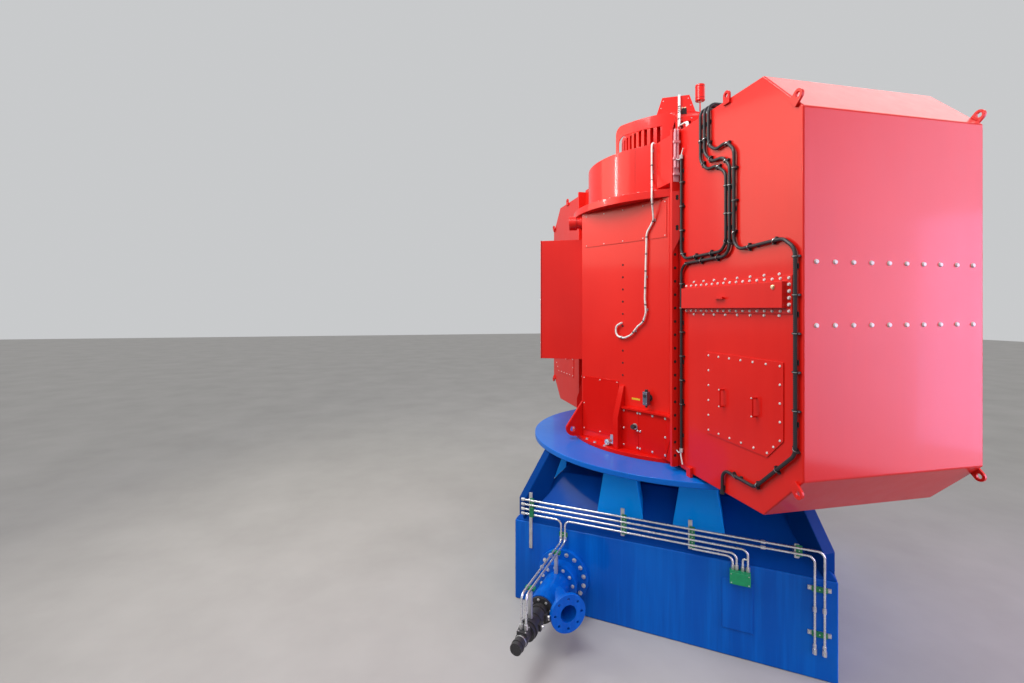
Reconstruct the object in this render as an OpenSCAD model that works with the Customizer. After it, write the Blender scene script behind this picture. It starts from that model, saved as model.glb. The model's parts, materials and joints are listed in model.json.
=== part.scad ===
// Vertical hydroelectric generator on its turbine casing.
// The machine's axis is the Z axis, the ground is z = 0, and an air cooler box stands out
// to the front (-Y) and to the back (+Y). Sizes are in millimetres.

/* [Turbine casing] */
// Half of the side of the square casing
casing_half = 1620; // [1560:5:1760]
// Height of the upright casing walls
casing_h = 935; // [860:5:1000]
// Run of the roof's slope from the walls in to its flat top
roof_run = 430; // [360:5:470]
// Height of the casing roof over the walls
roof_h = 495; // [420:5:560]
// Turn of the casing about the machine's axis
casing_turn = 37; // [30:1:42]
// Distance of the casing's middle from the machine's axis
casing_shift = 85; // [0:5:110]
// Radius of the round neck between the roof and the foundation plate
neck_r = 1020; // [800:10:1100]
// Height of the round neck
neck_h = 280; // [220:5:340]

/* [Foundation plate and legs] */
// Radius of the round foundation plate
plate_r = 1945; // [1900:5:2020]
// Thickness of the foundation plate
plate_t = 60; // [40:5:80]
// Width of a support leg where it meets the plate
leg_top_w = 330; // [260:5:380]
// Width of a support leg at its foot
leg_foot_w = 520; // [460:5:600]
// Depth of a support leg
leg_depth = 160; // [120:5:200]
// Step from the casing wall in to the outer face of the legs
leg_inset = 160; // [100:5:220]
// Distance of each leg from the middle of its casing side
leg_offset = 410; // [400:5:500]
// Width of a corner brace
brace_w = 150; // [110:5:260]
// Depth of a corner brace
brace_depth = 200; // [110:5:240]
// Height of the upright part of a corner brace
brace_upright = 230; // [150:5:300]

/* [Stator housing] */
// Distance from the axis to the two side corners of the housing
side_corner = 1390; // [1330:5:1450]
// Distance from the axis to the housing's front and back
front_y = 1148; // [1100:4:1200]
// Height of the housing
housing_h = 2840; // [2700:5:2950]
// Overhang of the base flange past the side corners
base_over = 42; // [36:1:110]
// Thickness of the base flange
base_t = 45; // [30:5:60]
// Thickness of the bolted cover sheets
cover_t = 6; // [4:1:10]
// Height of the upper cover sheets
upper_cover_h = 410; // [300:10:800]
// Depth of the lower cover boxes
lower_box_d = 50; // [30:5:80]
// Height of the lower cover boxes
lower_box_h = 485; // [400:5:560]
// Height of the gusset posts
post_h = 720; // [640:5:820]
// Width of a gusset post
post_w = 71; // [50:1:90]
// Depth of a gusset post at its foot
post_d = 134; // [110:1:160]

/* [Air boxes] */
// Width of an air box
box_w = 1680; // [1600:10:1740]
// Depth of an air box from its flange
box_d = 1580; // [1500:10:1700]
// Gap between the foundation plate and an air box
box_lift = 30; // [10:1:60]
// Height of an air box
box_h = 3490; // [3400:5:3520]
// Size of the chamfers along the outer edges
box_chamfer = 395; // [340:5:420]
// Length of a duct between the housing and its bolting flange
duct_l = 197; // [160:1:240]
// Step from an air box's side in to the duct's side
duct_inset = 15; // [5:1:30]
// Reach of the bolting flange past an air box's side
flange_over = 95; // [80:1:140]
// Thickness of the bolting flange
flange_t = 40; // [30:5:60]

/* [Terminal box] */
// Width of the terminal box
terminal_w = 1040; // [800:10:1100]
// Reach of the terminal box from the housing
terminal_d = 564; // [450:2:650]
// Height of its bottom over the base flange
terminal_lift = 965; // [860:5:1100]
// Distance of its top under the housing's top
terminal_drop = 305; // [210:5:450]

/* [Bearing bracket and crown] */
// Overhang of the shelf past the side corners of the housing
shelf_over = 25; // [15:1:45]
// Thickness of the shelf
shelf_t = 85; // [70:5:110]
// Radius of the bearing bracket drum
ring_r = 1210; // [1150:5:1290]
// Height of the bearing bracket drum
drum_h = 577; // [540:1:620]
// Step from the drum's rim in to the crown guards
guard_inset = 60; // [40:1:100]
// Height of the crown guards
guard_h = 343; // [320:1:420]
// Radius of the louvred drum
louvre_r = 760; // [700:5:820]
// Height of the louvred drum
louvre_h = 433; // [380:1:500]
// Number of louvre slots round the drum
louvre_count = 54; // [36:2:60]
// Radius of the flat top of the crown roof
crown_top_r = 355; // [340:5:400]
// Height of the crown roof
crown_h = 200; // [150:5:260]
// Height of the hood on the crown roof
hood_h = 300; // [240:5:340]

/* [Conduits and tubes] */
// Radius of a cable conduit
conduit_r = 15; // [12:1:16]
// Radius of an oil tube
oil_r = 11; // [8:1:14]
// Radius of the sensor hose
hose_r = 11; // [8:1:12]
// Radius of the crown cable
cable_r = 18; // [14:1:20]

/* [Injector] */
// Height of the injector's axis
injector_z = 420; // [360:5:480]
// Distance of the injector from the machine's axis along the casing wall
injector_x = 1095; // [1000:5:1150]
// Radius of the injector's wall flange
wall_flange_r = 295; // [240:5:320]
// Radius of the injector's body
injector_r = 140; // [120:5:160]
// Radius of the inlet flange
inlet_flange_r = 190; // [180:5:210]
// Radius of the inlet bore
inlet_bore_r = 85; // [70:1:95]
// Depth of the inlet bore behind its flange
inlet_bore_l = 200; // [120:5:240]
// Radius of the bolt circle on the inlet flange
inlet_pcr = 145; // [140:1:160]
// Number of bolt holes in the inlet flange
inlet_holes = 8; // [8:4:16]
// Radius of a bolt hole in the inlet flange
inlet_hole_r = 13; // [9:1:14]

/* [Hidden] */
$fn = 96;
round_fn = 32;
eps = 1;

// Levels, built up from the ground
roof_top = casing_h + roof_h;
plate_bottom = roof_top + neck_h;
plate_top = plate_bottom + plate_t;
base_top = plate_top + base_t;
housing_top = base_top + housing_h;
shelf_top = housing_top + shelf_t;
ring_top = shelf_top + drum_h;
guard_top = ring_top + guard_h;
louvre_top = ring_top + louvre_h;
crown_top = louvre_top + crown_h;
box_bottom = plate_top + box_lift;
box_top = box_bottom + box_h;

// Places across the machine
wall_x = box_w / 2;
front_half = wall_x - duct_inset;
flange_half = wall_x + flange_over;
flange_back = front_y + duct_l;
flange_y = flange_back + flange_t;
box_face = flange_y + box_d;
base_r = side_corner + base_over;
shelf_r = side_corner + shelf_over;
guard_r = ring_r - guard_inset;
crown_gap = 60;

// Frame of a housing side: drawn facing -Y, then turned to its place
side_turn = atan(front_y / (side_corner - front_half));
side_apothem = side_corner * sin(side_turn);
side_left = -side_corner * cos(side_turn);
side_right = front_y * sin(side_turn) - front_half * cos(side_turn);
BACK_LEFT = 180 - side_turn;

roof_half = casing_half - roof_run;
leg_face = casing_half - leg_inset;
casing_left = -casing_shift - casing_half;
casing_right = -casing_shift + casing_half;
roof_slope = roof_h / roof_run;
leg_foot_z = casing_h + leg_inset * roof_slope;
leg_taper = (leg_foot_w - leg_top_w) / 2 / (plate_bottom - leg_foot_z);

red = "#d8201c";
blue = "#1560c8";
steel = "#b9bcc0";
black = "#2a2a2c";
green = "#1f8a4c";

// Turns children that face -Y to a direction, measured from the front towards the left
module facing(turn) {
    rotate([0, 0, -turn]) children();
}

// The casing's own frame, and the same on all four of its sides
module casing_frame() {
    facing(casing_turn) translate([-casing_shift, 0, 0]) children();
}

module casing_sides() {
    casing_frame()
        for (side = [0:3])
            facing(90 * side) children();
}

// The children and their mirror image across the machine, and from front to back
module left_and_right() {
    for (side = [0, 1])
        mirror([side, 0, 0]) children();
}

module front_and_back() {
    for (side = [0, 1])
        mirror([0, side, 0]) children();
}

// A housing side's children, drawn for the left front and mirrored to the other three
module all_housing_sides() {
    front_and_back() left_and_right() facing(side_turn) children();
}

// Square block with sloping sides
module frustum(bottom_x, top_x, bottom_y, top_y, h) {
    intersection() {
        rotate([90, 0, 0])
            translate([0, 0, -bottom_y])
                linear_extrude(2 * bottom_y)
                    polygon([[-bottom_x, 0], [bottom_x, 0], [top_x, h], [-top_x, h]]);
        rotate([90, 0, 90])
            translate([0, 0, -bottom_x])
                linear_extrude(2 * bottom_x)
                    polygon([[-bottom_y, 0], [bottom_y, 0], [top_y, h], [-top_y, h]]);
    }
}

// Block given by its low and high corners
module block(low, high) {
    translate(low) cube(high - low);
}

// Outline in Y and Z, drawn out to both sides of X = 0
module side_profile(points, width) {
    rotate([90, 0, 90])
        translate([0, 0, -width / 2])
            linear_extrude(width) polygon(points);
}

// Cylinder along -Y from a point
module spigot(at, r, length) {
    translate(at) rotate([90, 0, 0]) cylinder(r = r, h = length);
}

// Route of a tube: points with the corners rounded to a bend radius, then a round skin
BEND_STEPS = 4;
function unit(v) = v / norm(v);
function bend(a, b, c, radius) =
    let (p = unit(a - b), q = unit(c - b), half = acos(p * q) / 2)
    let (reach = min(radius / tan(half), 0.48 * norm(a - b), 0.48 * norm(c - b)))
    let (centre = b + unit(p + q) * reach / cos(half), turn = 180 - 2 * half)
    let (from = b + p * reach - centre, to = b + q * reach - centre)
    [for (i = [0:BEND_STEPS])
        let (k = i / BEND_STEPS)
        centre + (from * sin(turn * (1 - k)) + to * sin(turn * k)) / sin(turn)];
function rounded(route, radius) =
    let (last = len(route) - 1)
    [route[0],
        for (i = [1:last - 1]) each bend(route[i - 1], route[i], route[i + 1], radius),
        route[last]];
function direction(path, i) =
    unit(path[min(i + 1, len(path) - 1)] - path[max(i - 1, 0)]);
function square_to(v, axis) = unit(v - (v * axis) * axis);
function across(path, start) =
    [for (i = 0, u = square_to(start, direction(path, 0)); i < len(path);
        i = i + 1, u = square_to(u, direction(path, min(i, len(path) - 1)))) u];

module tube_along(route, r, radius, start, sides = 8) {
    path = rounded(route, radius);
    count = len(path);
    side = across(path, start);
    skin = [for (i = [0:count - 1])
        let (u = side[i], v = cross(direction(path, i), u))
        for (j = [0:sides - 1])
            path[i] + r * (cos(360 * j / sides) * u + sin(360 * j / sides) * v)];
    walls = [for (i = [0:count - 2], j = [0:sides - 1])
        let (k = (j + 1) % sides)
        [i * sides + j, (i + 1) * sides + j, (i + 1) * sides + k, i * sides + k]];
    ends = [[for (j = [0:sides - 1]) j],
        [for (j = [sides - 1:-1:0]) (count - 1) * sides + j]];
    polyhedron(points = skin, faces = concat(walls, ends));
}

// Turbine casing

module turbine_casing() {
    color(blue)
        casing_frame()
            block([-casing_half, -casing_half, 0], [casing_half, casing_half, casing_h]);
}

module roof_shape() {
    casing_frame()
        translate([0, 0, casing_h])
            frustum(casing_half, roof_half, casing_half, roof_half, roof_h);
}

module casing_roof() {
    color(blue) roof_shape();
}

// The casing and its roof, cut from what stands on the slopes
module casing_ground() {
    turbine_casing();
    roof_shape();
}

module casing_neck() {
    color(blue)
        translate([0, 0, roof_top])
            cylinder(r = neck_r, h = neck_h);
}

// Support legs: tapered box legs, two on each side of the casing
root_z = casing_h - 30;

module leg_blank() {
    low_w = leg_foot_w / 2 + leg_taper * (leg_foot_z - root_z);
    top_w = leg_top_w / 2;
    translate([0, -leg_face + leg_depth, 0])
        rotate([90, 0, 0])
            linear_extrude(leg_depth)
                polygon([[-low_w, root_z], [low_w, root_z],
                    [top_w, plate_bottom], [-top_w, plate_bottom]]);
}

module support_legs() {
    color(blue)
        difference() {
            casing_sides()
                for (side = [-1, 1])
                    translate([side * leg_offset, 0, 0]) leg_blank();
            casing_ground();
        }
}

// Corner braces: from the rim of the foundation plate out to the casing's corners
brace_edge = 10;
brace_reach = casing_half * sqrt(2) - brace_w / 2 - brace_edge;
brace_elbow = casing_h + brace_upright;
brace_rim = plate_r - casing_shift + brace_edge;

module corner_braces() {
    color(blue)
        difference() {
            casing_sides()
                facing(45)
                    side_profile([[-brace_rim, plate_bottom], [-brace_reach, brace_elbow],
                        [-brace_reach, root_z], [-brace_reach + brace_depth, root_z],
                        [-brace_rim + brace_depth, plate_bottom]], brace_w);
            casing_ground();
        }
}

module foundation_plate() {
    color(blue)
        translate([0, 0, plate_bottom]) cylinder(r = plate_r, h = plate_t);
}

// What stands on the casing wall that has the injector, measured from the machine's axis
module on_wall() {
    facing(casing_turn) translate([0, -casing_half, 0]) children();
}

// Access cover and junction box
cover_x = 695;
cover_w = 280;
cover_low = 275;
access_t = 12;
junction_w = 185;
junction_h = 115;
junction_d = 95;
junction_x = 720;
junction_low = 765;
junction_top = junction_low + junction_h;

module access_cover() {
    color(blue)
        on_wall()
            block([cover_x - cover_w / 2, -access_t, cover_low],
                [cover_x + cover_w / 2, 0, junction_low]);
}

module junction_box() {
    color(green)
        on_wall()
            block([junction_x - junction_w / 2, -junction_d, junction_low],
                [junction_x + junction_w / 2, 0, junction_top]);
}

// Injector: wall flange, body with a side branch, inlet flange and servomotor
wall_flange_t = 50;
collar_r = 185;
collar_l = 150;
second_flange_r = 215;
second_flange_t = 35;
body_l = 475;
branch_turn = 45;
branch_r = 115;
branch_l = 345;
branch_start = 400;
inlet_flange_t = 40;
servo_plate_r = 130;
servo_plate_t = 30;
servo_r = 78;
servo_l = 360;
servo_tail_r = 55;
servo_tail_l = 250;
servo_port_h = 70;
servo_port_half = 50;
body_start = wall_flange_t + collar_l + second_flange_t;
servo_start = body_start + body_l;
tail_start = servo_start + servo_plate_t + servo_l;

module at_injector() {
    on_wall() translate([-injector_x, 0, injector_z]) children();
}

module along_branch() {
    translate([0, -branch_start, 0]) rotate([0, 0, branch_turn]) children();
}

module injector_flange() {
    color(blue) at_injector() spigot([0, 0, 0], wall_flange_r, wall_flange_t);
}

module injector_body() {
    color(blue)
        at_injector()
            difference() {
                union() {
                    spigot([0, -wall_flange_t, 0], collar_r, collar_l);
                    spigot([0, -wall_flange_t - collar_l, 0],
                        second_flange_r, second_flange_t);
                    spigot([0, -body_start, 0], injector_r, body_l);
                    along_branch() spigot([0, 0, 0], branch_r, branch_l);
                }
                along_branch()
                    spigot([0, -branch_l + inlet_bore_l, 0], inlet_bore_r, inlet_bore_l + eps);
            }
}

module inlet_flange() {
    color(blue)
        at_injector()
            along_branch()
                difference() {
                    spigot([0, -branch_l, 0], inlet_flange_r, inlet_flange_t);
                    spigot([0, -branch_l + eps, 0], inlet_bore_r, inlet_flange_t + 2 * eps);
                    for (i = [0:inlet_holes - 1])
                        rotate([0, 360 * i / inlet_holes, 0])
                            spigot([0, -branch_l + eps, inlet_pcr],
                                inlet_hole_r, inlet_flange_t + 2 * eps);
                }
}

module servomotor() {
    color(black)
        at_injector() {
            spigot([0, -servo_start, 0], servo_plate_r, servo_plate_t);
            spigot([0, -servo_start - servo_plate_t, 0], servo_r, servo_l);
            spigot([0, -tail_start, 0], servo_tail_r, servo_tail_l);
            block([-servo_port_half, -loop_out - servo_port_half, 0],
                [servo_port_half, -loop_out + servo_port_half, servo_port_h]);
        }
}

// Oil tubes along the casing, on upright brackets
row_pitch = 54;
first_row = casing_h + 105;
tube_rows = [for (i = [0:3]) first_row + row_pitch * i];
bracket_t = 19;
bracket_w = 40;
tube_y = -bracket_t - oil_r;
tube_bend = 60;
drop_x = [casing_right - 190, casing_right - 112];
drop_foot = 250;
tube_end = casing_left + 105;
loop_half = 23;
loop_out = tail_start + 65;
loop_x = [-injector_x - loop_half, -injector_x + loop_half];
loop_z = 800;
box_inlet_x = [junction_x + 70, junction_x - 30];
bracket_x = [casing_left + 209, -427, 260];
bracket_high = tube_rows[3] + 85;
wall_bracket_low = 640;
roof_bracket_low = casing_h + 55;
rail_z = [850, 435];
rail_w = 190;
rail_h = 40;
rail_x = (drop_x[0] + drop_x[1]) / 2;
small_bracket_x = casing_right - 334;
arm_h = 40;
arm_l = 240;
loop_clamp_z = 880;
loop_post_out = [265, 1005];
loop_post_r = [injector_r, servo_r];
loop_post_half = 18;
clamp_w = 50;
clamp_edge = 24;
clamp_shift = 20;
groove_r = oil_r + 0.3;

module oil_tubes() {
    color(steel)
        on_wall() {
            for (i = [0, 1])
                tube_along([[tube_end, tube_y, tube_rows[3 - i]],
                    [drop_x[1 - i], tube_y, tube_rows[3 - i]],
                    [drop_x[1 - i], tube_y, drop_foot]], oil_r, tube_bend, [0, 1, 0]);
            for (i = [0, 1])
                tube_along([[loop_x[i], -loop_out, injector_z + servo_port_h],
                    [loop_x[i], -loop_out, loop_z],
                    [loop_x[i], tube_y, loop_z],
                    [loop_x[i], tube_y, tube_rows[1 - i]],
                    [box_inlet_x[i], tube_y, tube_rows[1 - i]],
                    [box_inlet_x[i], tube_y, junction_top]],
                    oil_r, tube_bend, [1, 0, 0]);
        }
}

// Upright strip at a place along the wall, with an arm back to the roof where it is above it
module strip(x, low, high) {
    block([x - bracket_w / 2, -bracket_t, low], [x + bracket_w / 2, 0, high]);
}

module arm(x, low) {
    block([x - bracket_w / 2, -eps, low], [x + bracket_w / 2, arm_l, low + arm_h]);
}

module tube_brackets() {
    color(steel) {
        difference() {
            on_wall() {
                strip(bracket_x[0], wall_bracket_low, bracket_high);
                for (x = [bracket_x[1], bracket_x[2]]) {
                    strip(x, roof_bracket_low, bracket_high);
                    arm(x, roof_bracket_low);
                }
                strip(small_bracket_x, tube_rows[2] - 50, tube_rows[3] + 30);
                arm(small_bracket_x, tube_rows[2] - 50);
                for (z = rail_z)
                    block([rail_x - rail_w / 2, -bracket_t, z - rail_h / 2],
                        [rail_x + rail_w / 2, 0, z + rail_h / 2]);
                block([loop_x[0] - clamp_edge, -bracket_t, loop_clamp_z - rail_h / 2],
                    [loop_x[1] + clamp_edge, 0, loop_clamp_z + rail_h / 2]);
            }
            casing_ground();
        }
        for (i = [0, 1])
            on_wall()
                difference() {
                    block([-injector_x - loop_post_half, -loop_post_out[i] - loop_post_half,
                            injector_z + loop_post_r[i] / 2],
                        [-injector_x + loop_post_half, -loop_post_out[i] + loop_post_half,
                            loop_z - clamp_edge]);
                    translate([-injector_x, 0, injector_z])
                        spigot([0, 0, 0], loop_post_r[i], loop_post_out[i] + 2 * loop_post_half);
                }
    }
}

// Tube clamps: grooved half blocks between a bracket and the tubes
module row_clamp(x, rows) {
    last = len(rows) - 1;
    difference() {
        block([x - clamp_w / 2, tube_y, rows[0] - clamp_edge],
            [x + clamp_w / 2, tube_y + oil_r, rows[last] + clamp_edge]);
        for (z = rows)
            translate([x - clamp_w, tube_y, z])
                rotate([0, 90, 0]) cylinder(r = groove_r, h = 2 * clamp_w, $fn = round_fn);
    }
}

module drop_clamp(places, z) {
    difference() {
        block([places[0] - clamp_edge, tube_y, z - clamp_w / 2],
            [places[1] + clamp_edge, tube_y + oil_r, z + clamp_w / 2]);
        for (x = places)
            translate([x, tube_y, z - clamp_w])
                cylinder(r = groove_r, h = 2 * clamp_w, $fn = round_fn);
    }
}

module tube_clamps() {
    color(green)
        on_wall() {
            row_clamp(bracket_x[0] + clamp_shift, [tube_rows[2], tube_rows[3]]);
            for (i = [1, 2])
                row_clamp(bracket_x[i] + clamp_shift, tube_rows);
            row_clamp(small_bracket_x + clamp_shift, [tube_rows[2], tube_rows[3]]);
            for (z = rail_z)
                drop_clamp(drop_x, z);
            drop_clamp(loop_x, loop_clamp_z);
            for (out = loop_post_out)
                difference() {
                    block([loop_x[0] - clamp_edge, -out - clamp_w / 2, loop_z - clamp_edge],
                        [loop_x[1] + clamp_edge, -out + clamp_w / 2, loop_z]);
                    for (x = loop_x)
                        spigot([x, -out + clamp_w, loop_z], groove_r, 2 * clamp_w);
                }
        }
}

// Stator housing

module housing_outline() {
    polygon([[-side_corner, 0], [-front_half, -front_y], [front_half, -front_y],
        [side_corner, 0], [front_half, front_y], [-front_half, front_y]]);
}

module base_flange() {
    color(red) translate([0, 0, plate_top]) cylinder(r = base_r, h = base_t);
}

module stator_housing() {
    color(red)
        translate([0, 0, base_top])
            linear_extrude(housing_h) housing_outline();
}

// Upper cover sheets on three of the sides; the terminal box stands on the fourth
cover_margin = 60;
cover_top = housing_top - 25;
upper_cover_low = cover_top - upper_cover_h;

module upper_cover() {
    translate([0, -side_apothem - cover_t, 0])
        block([side_left + cover_margin, 0, upper_cover_low],
            [side_right - cover_margin / 2, cover_t, cover_top]);
}

module upper_covers() {
    color(red) {
        left_and_right() facing(side_turn) upper_cover();
        mirror([1, 0, 0]) facing(BACK_LEFT) mirror([1, 0, 0]) upper_cover();
    }
}

// Lower cover boxes with a ledge on top, along the sides and on along the ducts
post_left = 0;
lower_box_x = post_left + post_w;
ledge_t = 20;
ledge_over = 25;
lower_seam = 301;
seam_gap = 4;
lower_box_top = base_top + lower_box_h;

module lower_covers() {
    color(red) {
        all_housing_sides()
            translate([0, -side_apothem, 0]) {
                difference() {
                    block([lower_box_x, -lower_box_d, base_top],
                        [side_right, 0, lower_box_top - ledge_t]);
                    block([lower_seam, -lower_box_d - eps, base_top - eps],
                        [lower_seam + seam_gap, -lower_box_d + seam_gap, lower_box_top]);
                }
                block([lower_box_x, -lower_box_d - ledge_over, lower_box_top - ledge_t],
                    [side_right, 0, lower_box_top]);
            }
        front_and_back()
            left_and_right() {
                block([-front_half - lower_box_d, -flange_back, base_top],
                    [-front_half, -front_y, lower_box_top - ledge_t]);
                block([-front_half - lower_box_d - ledge_over, -flange_back,
                        lower_box_top - ledge_t],
                    [-front_half, -front_y, lower_box_top]);
            }
    }
}

// Bolted panels low on the sides, beside the gusset posts
panel_low = base_top + 85;
panel_high = base_top + 770;
panel_edge = 20;

module side_panels() {
    color(red)
        all_housing_sides()
            translate([0, -side_apothem - cover_t, 0])
                block([side_left + panel_edge, 0, panel_low],
                    [post_left - panel_edge, cover_t, panel_high]);
}

// Gusset posts: upright gussets on the base flange with long sloping tops
post_top = base_top + post_h;
post_top_d = 20;
post_shoulder = base_top + post_h / 2;

module gusset_posts() {
    color(red)
        all_housing_sides()
            translate([post_left + post_w / 2, -side_apothem, 0])
                side_profile([[0, base_top], [0, post_top], [-post_top_d, post_top],
                    [-post_d, post_shoulder], [-post_d, base_top]], post_w);
}

// Base lugs: jacking ears at the two side corners
lug_t = 40;
lug_top = base_top + 440;
lug_hole_r = 35;
lug_hole_x = side_corner + 130;
lug_hole_z = base_top + 90;
lug_nose_r = 85;

module base_lugs() {
    color(red)
        left_and_right()
            translate([0, lug_t / 2, 0])
                rotate([90, 0, 0])
                    linear_extrude(lug_t)
                        difference() {
                            union() {
                                polygon([[-side_corner, base_top], [-side_corner, lug_top],
                                    [-lug_hole_x - lug_nose_r, lug_hole_z + 30],
                                    [-lug_hole_x - lug_nose_r, lug_hole_z],
                                    [-lug_hole_x, base_top]]);
                                translate([-lug_hole_x, lug_hole_z])
                                    circle(r = lug_nose_r, $fn = round_fn);
                            }
                            translate([-lug_hole_x, lug_hole_z])
                                circle(r = lug_hole_r, $fn = round_fn);
                        }
}

// Drain valve and oil level sensor on the left front side
valve_x = -95;
valve_z = base_top + 42;
valve_pipe_r = 22;
valve_r = 36;
gauge_x = 413;
gauge_z = base_top + 627;
gauge_half = 30;
gauge_h = 150;

module on_left_front(x, z) {
    facing(side_turn) translate([x, -side_apothem, z]) children();
}

module drain_valve() {
    color(steel)
        on_left_front(valve_x, valve_z) {
            spigot([0, 0, 0], valve_pipe_r, 76);
            spigot([0, -76, 0], valve_r, 54);
            block([valve_r / 2, -111, -9], [valve_r + 42, -93, 9]);
            block([valve_r + 24, -111, 9], [valve_r + 42, -93, 95]);
        }
}

module sight_gauge() {
    color(steel)
        on_left_front(gauge_x, gauge_z) {
            spigot([0, 0, 0], gauge_half - 6, gauge_half);
            block([-gauge_half, -3 * gauge_half, -gauge_h / 2],
                [gauge_half, -gauge_half, gauge_h / 2]);
        }
}

// Terminal box on the left back side
lid_t = 12;
lid_over = 3;
side_mid = (side_left + side_right) / 2;
terminal_bottom = base_top + terminal_lift;
terminal_top = housing_top - terminal_drop;

module on_left_back() {
    facing(BACK_LEFT) mirror([1, 0, 0]) translate([0, -side_apothem, 0]) children();
}

module terminal_box() {
    color(red)
        on_left_back()
            translate([side_mid, 0, 0]) {
                block([-terminal_w / 2, -terminal_d + lid_t, terminal_bottom],
                    [terminal_w / 2, 0, terminal_top]);
                block([-terminal_w / 2 - lid_over, -terminal_d, terminal_bottom - lid_over],
                    [terminal_w / 2 + lid_over, -terminal_d + lid_t,
                        terminal_top + lid_over]);
            }
}

// Ducts from the housing to the air boxes: a lower one, and one against the drum
module duct() {
    block([-front_half, -flange_back, base_top], [front_half, -front_y, housing_top]);
    difference() {
        block([-front_half, -flange_back, shelf_top + crown_gap],
            [front_half, -ring_r / 2, ring_top]);
        translate([0, 0, shelf_top]) cylinder(r = ring_r, h = ring_top, $fn = 3 * $fn);
    }
}

module front_duct() {
    color(red) duct();
}

module rear_duct() {
    color(red) mirror([0, 1, 0]) duct();
}

// Bolting flanges between the ducts and the air boxes, with a groove along each edge
recess_w = 26;
recess_d = 20;
recess_top = box_bottom + 2320;

module bolting_flanges() {
    color(red)
        front_and_back()
            difference() {
                block([-flange_half, -flange_y, base_top],
                    [flange_half, -flange_back, box_top]);
                for (side = [-1, 1])
                    translate([side * (wall_x + recess_w / 2), -flange_y, 0])
                        block([-recess_w / 2, -eps, base_top - eps],
                            [recess_w / 2, recess_d, recess_top]);
            }
}

// Air boxes with sloping top and bottom outer edges
module air_box() {
    side_profile([[-flange_y, box_bottom], [-box_face + box_chamfer, box_bottom],
        [-box_face, box_bottom + box_chamfer], [-box_face, box_top - box_chamfer],
        [-box_face + box_chamfer, box_top], [-flange_y, box_top]], box_w);
}

module front_air_box() {
    color(red) air_box();
}

module rear_air_box() {
    color(red) mirror([0, 1, 0]) air_box();
}

// Duct covers: long raised covers on the sides of the air boxes
duct_near = flange_y + 105;
duct_far = box_face - 95;
duct_low = box_bottom + 1600;
duct_high = duct_low + 290;
duct_plate = 10;
duct_rise = 45;
duct_cap_edge = 45;

module duct_covers() {
    color(red)
        front_and_back()
            left_and_right() {
                block([-wall_x - duct_plate, -duct_far, duct_low],
                    [-wall_x, -duct_near, duct_high]);
                block([-wall_x - duct_plate - duct_rise, -duct_far + duct_cap_edge,
                        duct_low + duct_cap_edge],
                    [-wall_x - duct_plate, -duct_near, duct_high - duct_cap_edge]);
            }
}

// Hatch plates with a cut corner, and their handles
hatch_near = flange_y + 455;
hatch_far = box_face - 180;
hatch_low = box_bottom + 475;
hatch_high = hatch_low + 762;
hatch_cut = 168;
hatch_t = 8;
handle_y = [hatch_near + 252, hatch_far - 281];
handle_low = hatch_low + 291;
handle_high = handle_low + 162;
handle_bar = 14;
handle_gap = 34;

module hatch_plates() {
    color(red)
        front_and_back()
            left_and_right()
                translate([-wall_x - hatch_t / 2, 0, 0])
                    side_profile([[-hatch_near, hatch_low],
                        [-hatch_far + hatch_cut, hatch_low],
                        [-hatch_far, hatch_low + hatch_cut], [-hatch_far, hatch_high],
                        [-hatch_near, hatch_high]], hatch_t);
}

module handle() {
    reach = handle_gap + handle_bar;
    block([-reach, 0, handle_low], [-handle_gap, handle_bar, handle_high]);
    for (z = [handle_low, handle_high - handle_bar])
        block([-reach, 0, z], [0, handle_bar, z + handle_bar]);
}

module hatch_handles() {
    color(red)
        front_and_back()
            left_and_right()
                for (y = handle_y)
                    translate([-wall_x - hatch_t, -y - handle_bar / 2, 0]) handle();
}

// Lifting lugs on the air boxes' side walls
eye_t = 20;
eye_r = 42;
eye_hole_r = 20;
eye_y = box_face - 32;
eye_rise = 88;
top_lug_y = flange_y + 753;
top_lug_rise = 28;
lug_root = 75;

// Plate with a round nose and a hole, its root pointing to a given turn from straight down
module eye_plate(y, z, turn) {
    translate([-wall_x, y, z])
        rotate([turn, 0, 0])
            rotate([90, 0, -90])
                linear_extrude(eye_t)
                    difference() {
                        union() {
                            circle(r = eye_r, $fn = round_fn);
                            translate([-eye_r, -lug_root]) square([2 * eye_r, lug_root]);
                        }
                        circle(r = eye_hole_r, $fn = round_fn);
                    }
}

module lifting_lugs() {
    left_and_right() {
        eye_plate(-eye_y, box_top - box_chamfer + eye_rise, 45);
        eye_plate(-eye_y, box_bottom + box_chamfer - eye_rise, 135);
        eye_plate(-top_lug_y, box_top + top_lug_rise, 0);
    }
}

module front_lifting_lugs() {
    color(red) lifting_lugs();
}

module rear_lifting_lugs() {
    color(red) mirror([0, 1, 0]) lifting_lugs();
}

// Foot blocks that carry the air boxes on the foundation plate
foot_y = flange_y + 190;
foot_w = 70;
foot_t = 32;
foot_top = box_bottom + 68;

module foot_blocks() {
    color(red)
        front_and_back()
            left_and_right()
                block([-wall_x - foot_t, -foot_y - foot_w / 2, plate_top],
                    [-wall_x, -foot_y + foot_w / 2, foot_top]);
}

// Stub pipe high on the left back side, beside the housing's corner
stub_in = 95;
stub_z = housing_top - 95;
stub_r = 68;
stub_l = 170;
stub_flange_r = 88;
stub_flange_t = 24;

module stub_pipe() {
    color(red)
        on_left_back() {
            spigot([side_left + stub_in, 0, stub_z], stub_flange_r, stub_flange_t);
            spigot([side_left + stub_in, 0, stub_z], stub_r, stub_l);
        }
}

// Bearing bracket and crown

module bearing_shelf() {
    color(red)
        intersection() {
            translate([0, 0, housing_top]) cylinder(r = shelf_r, h = shelf_t);
            block([-shelf_r, -flange_back, housing_top],
                [shelf_r, flange_back, shelf_top]);
        }
}

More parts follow.
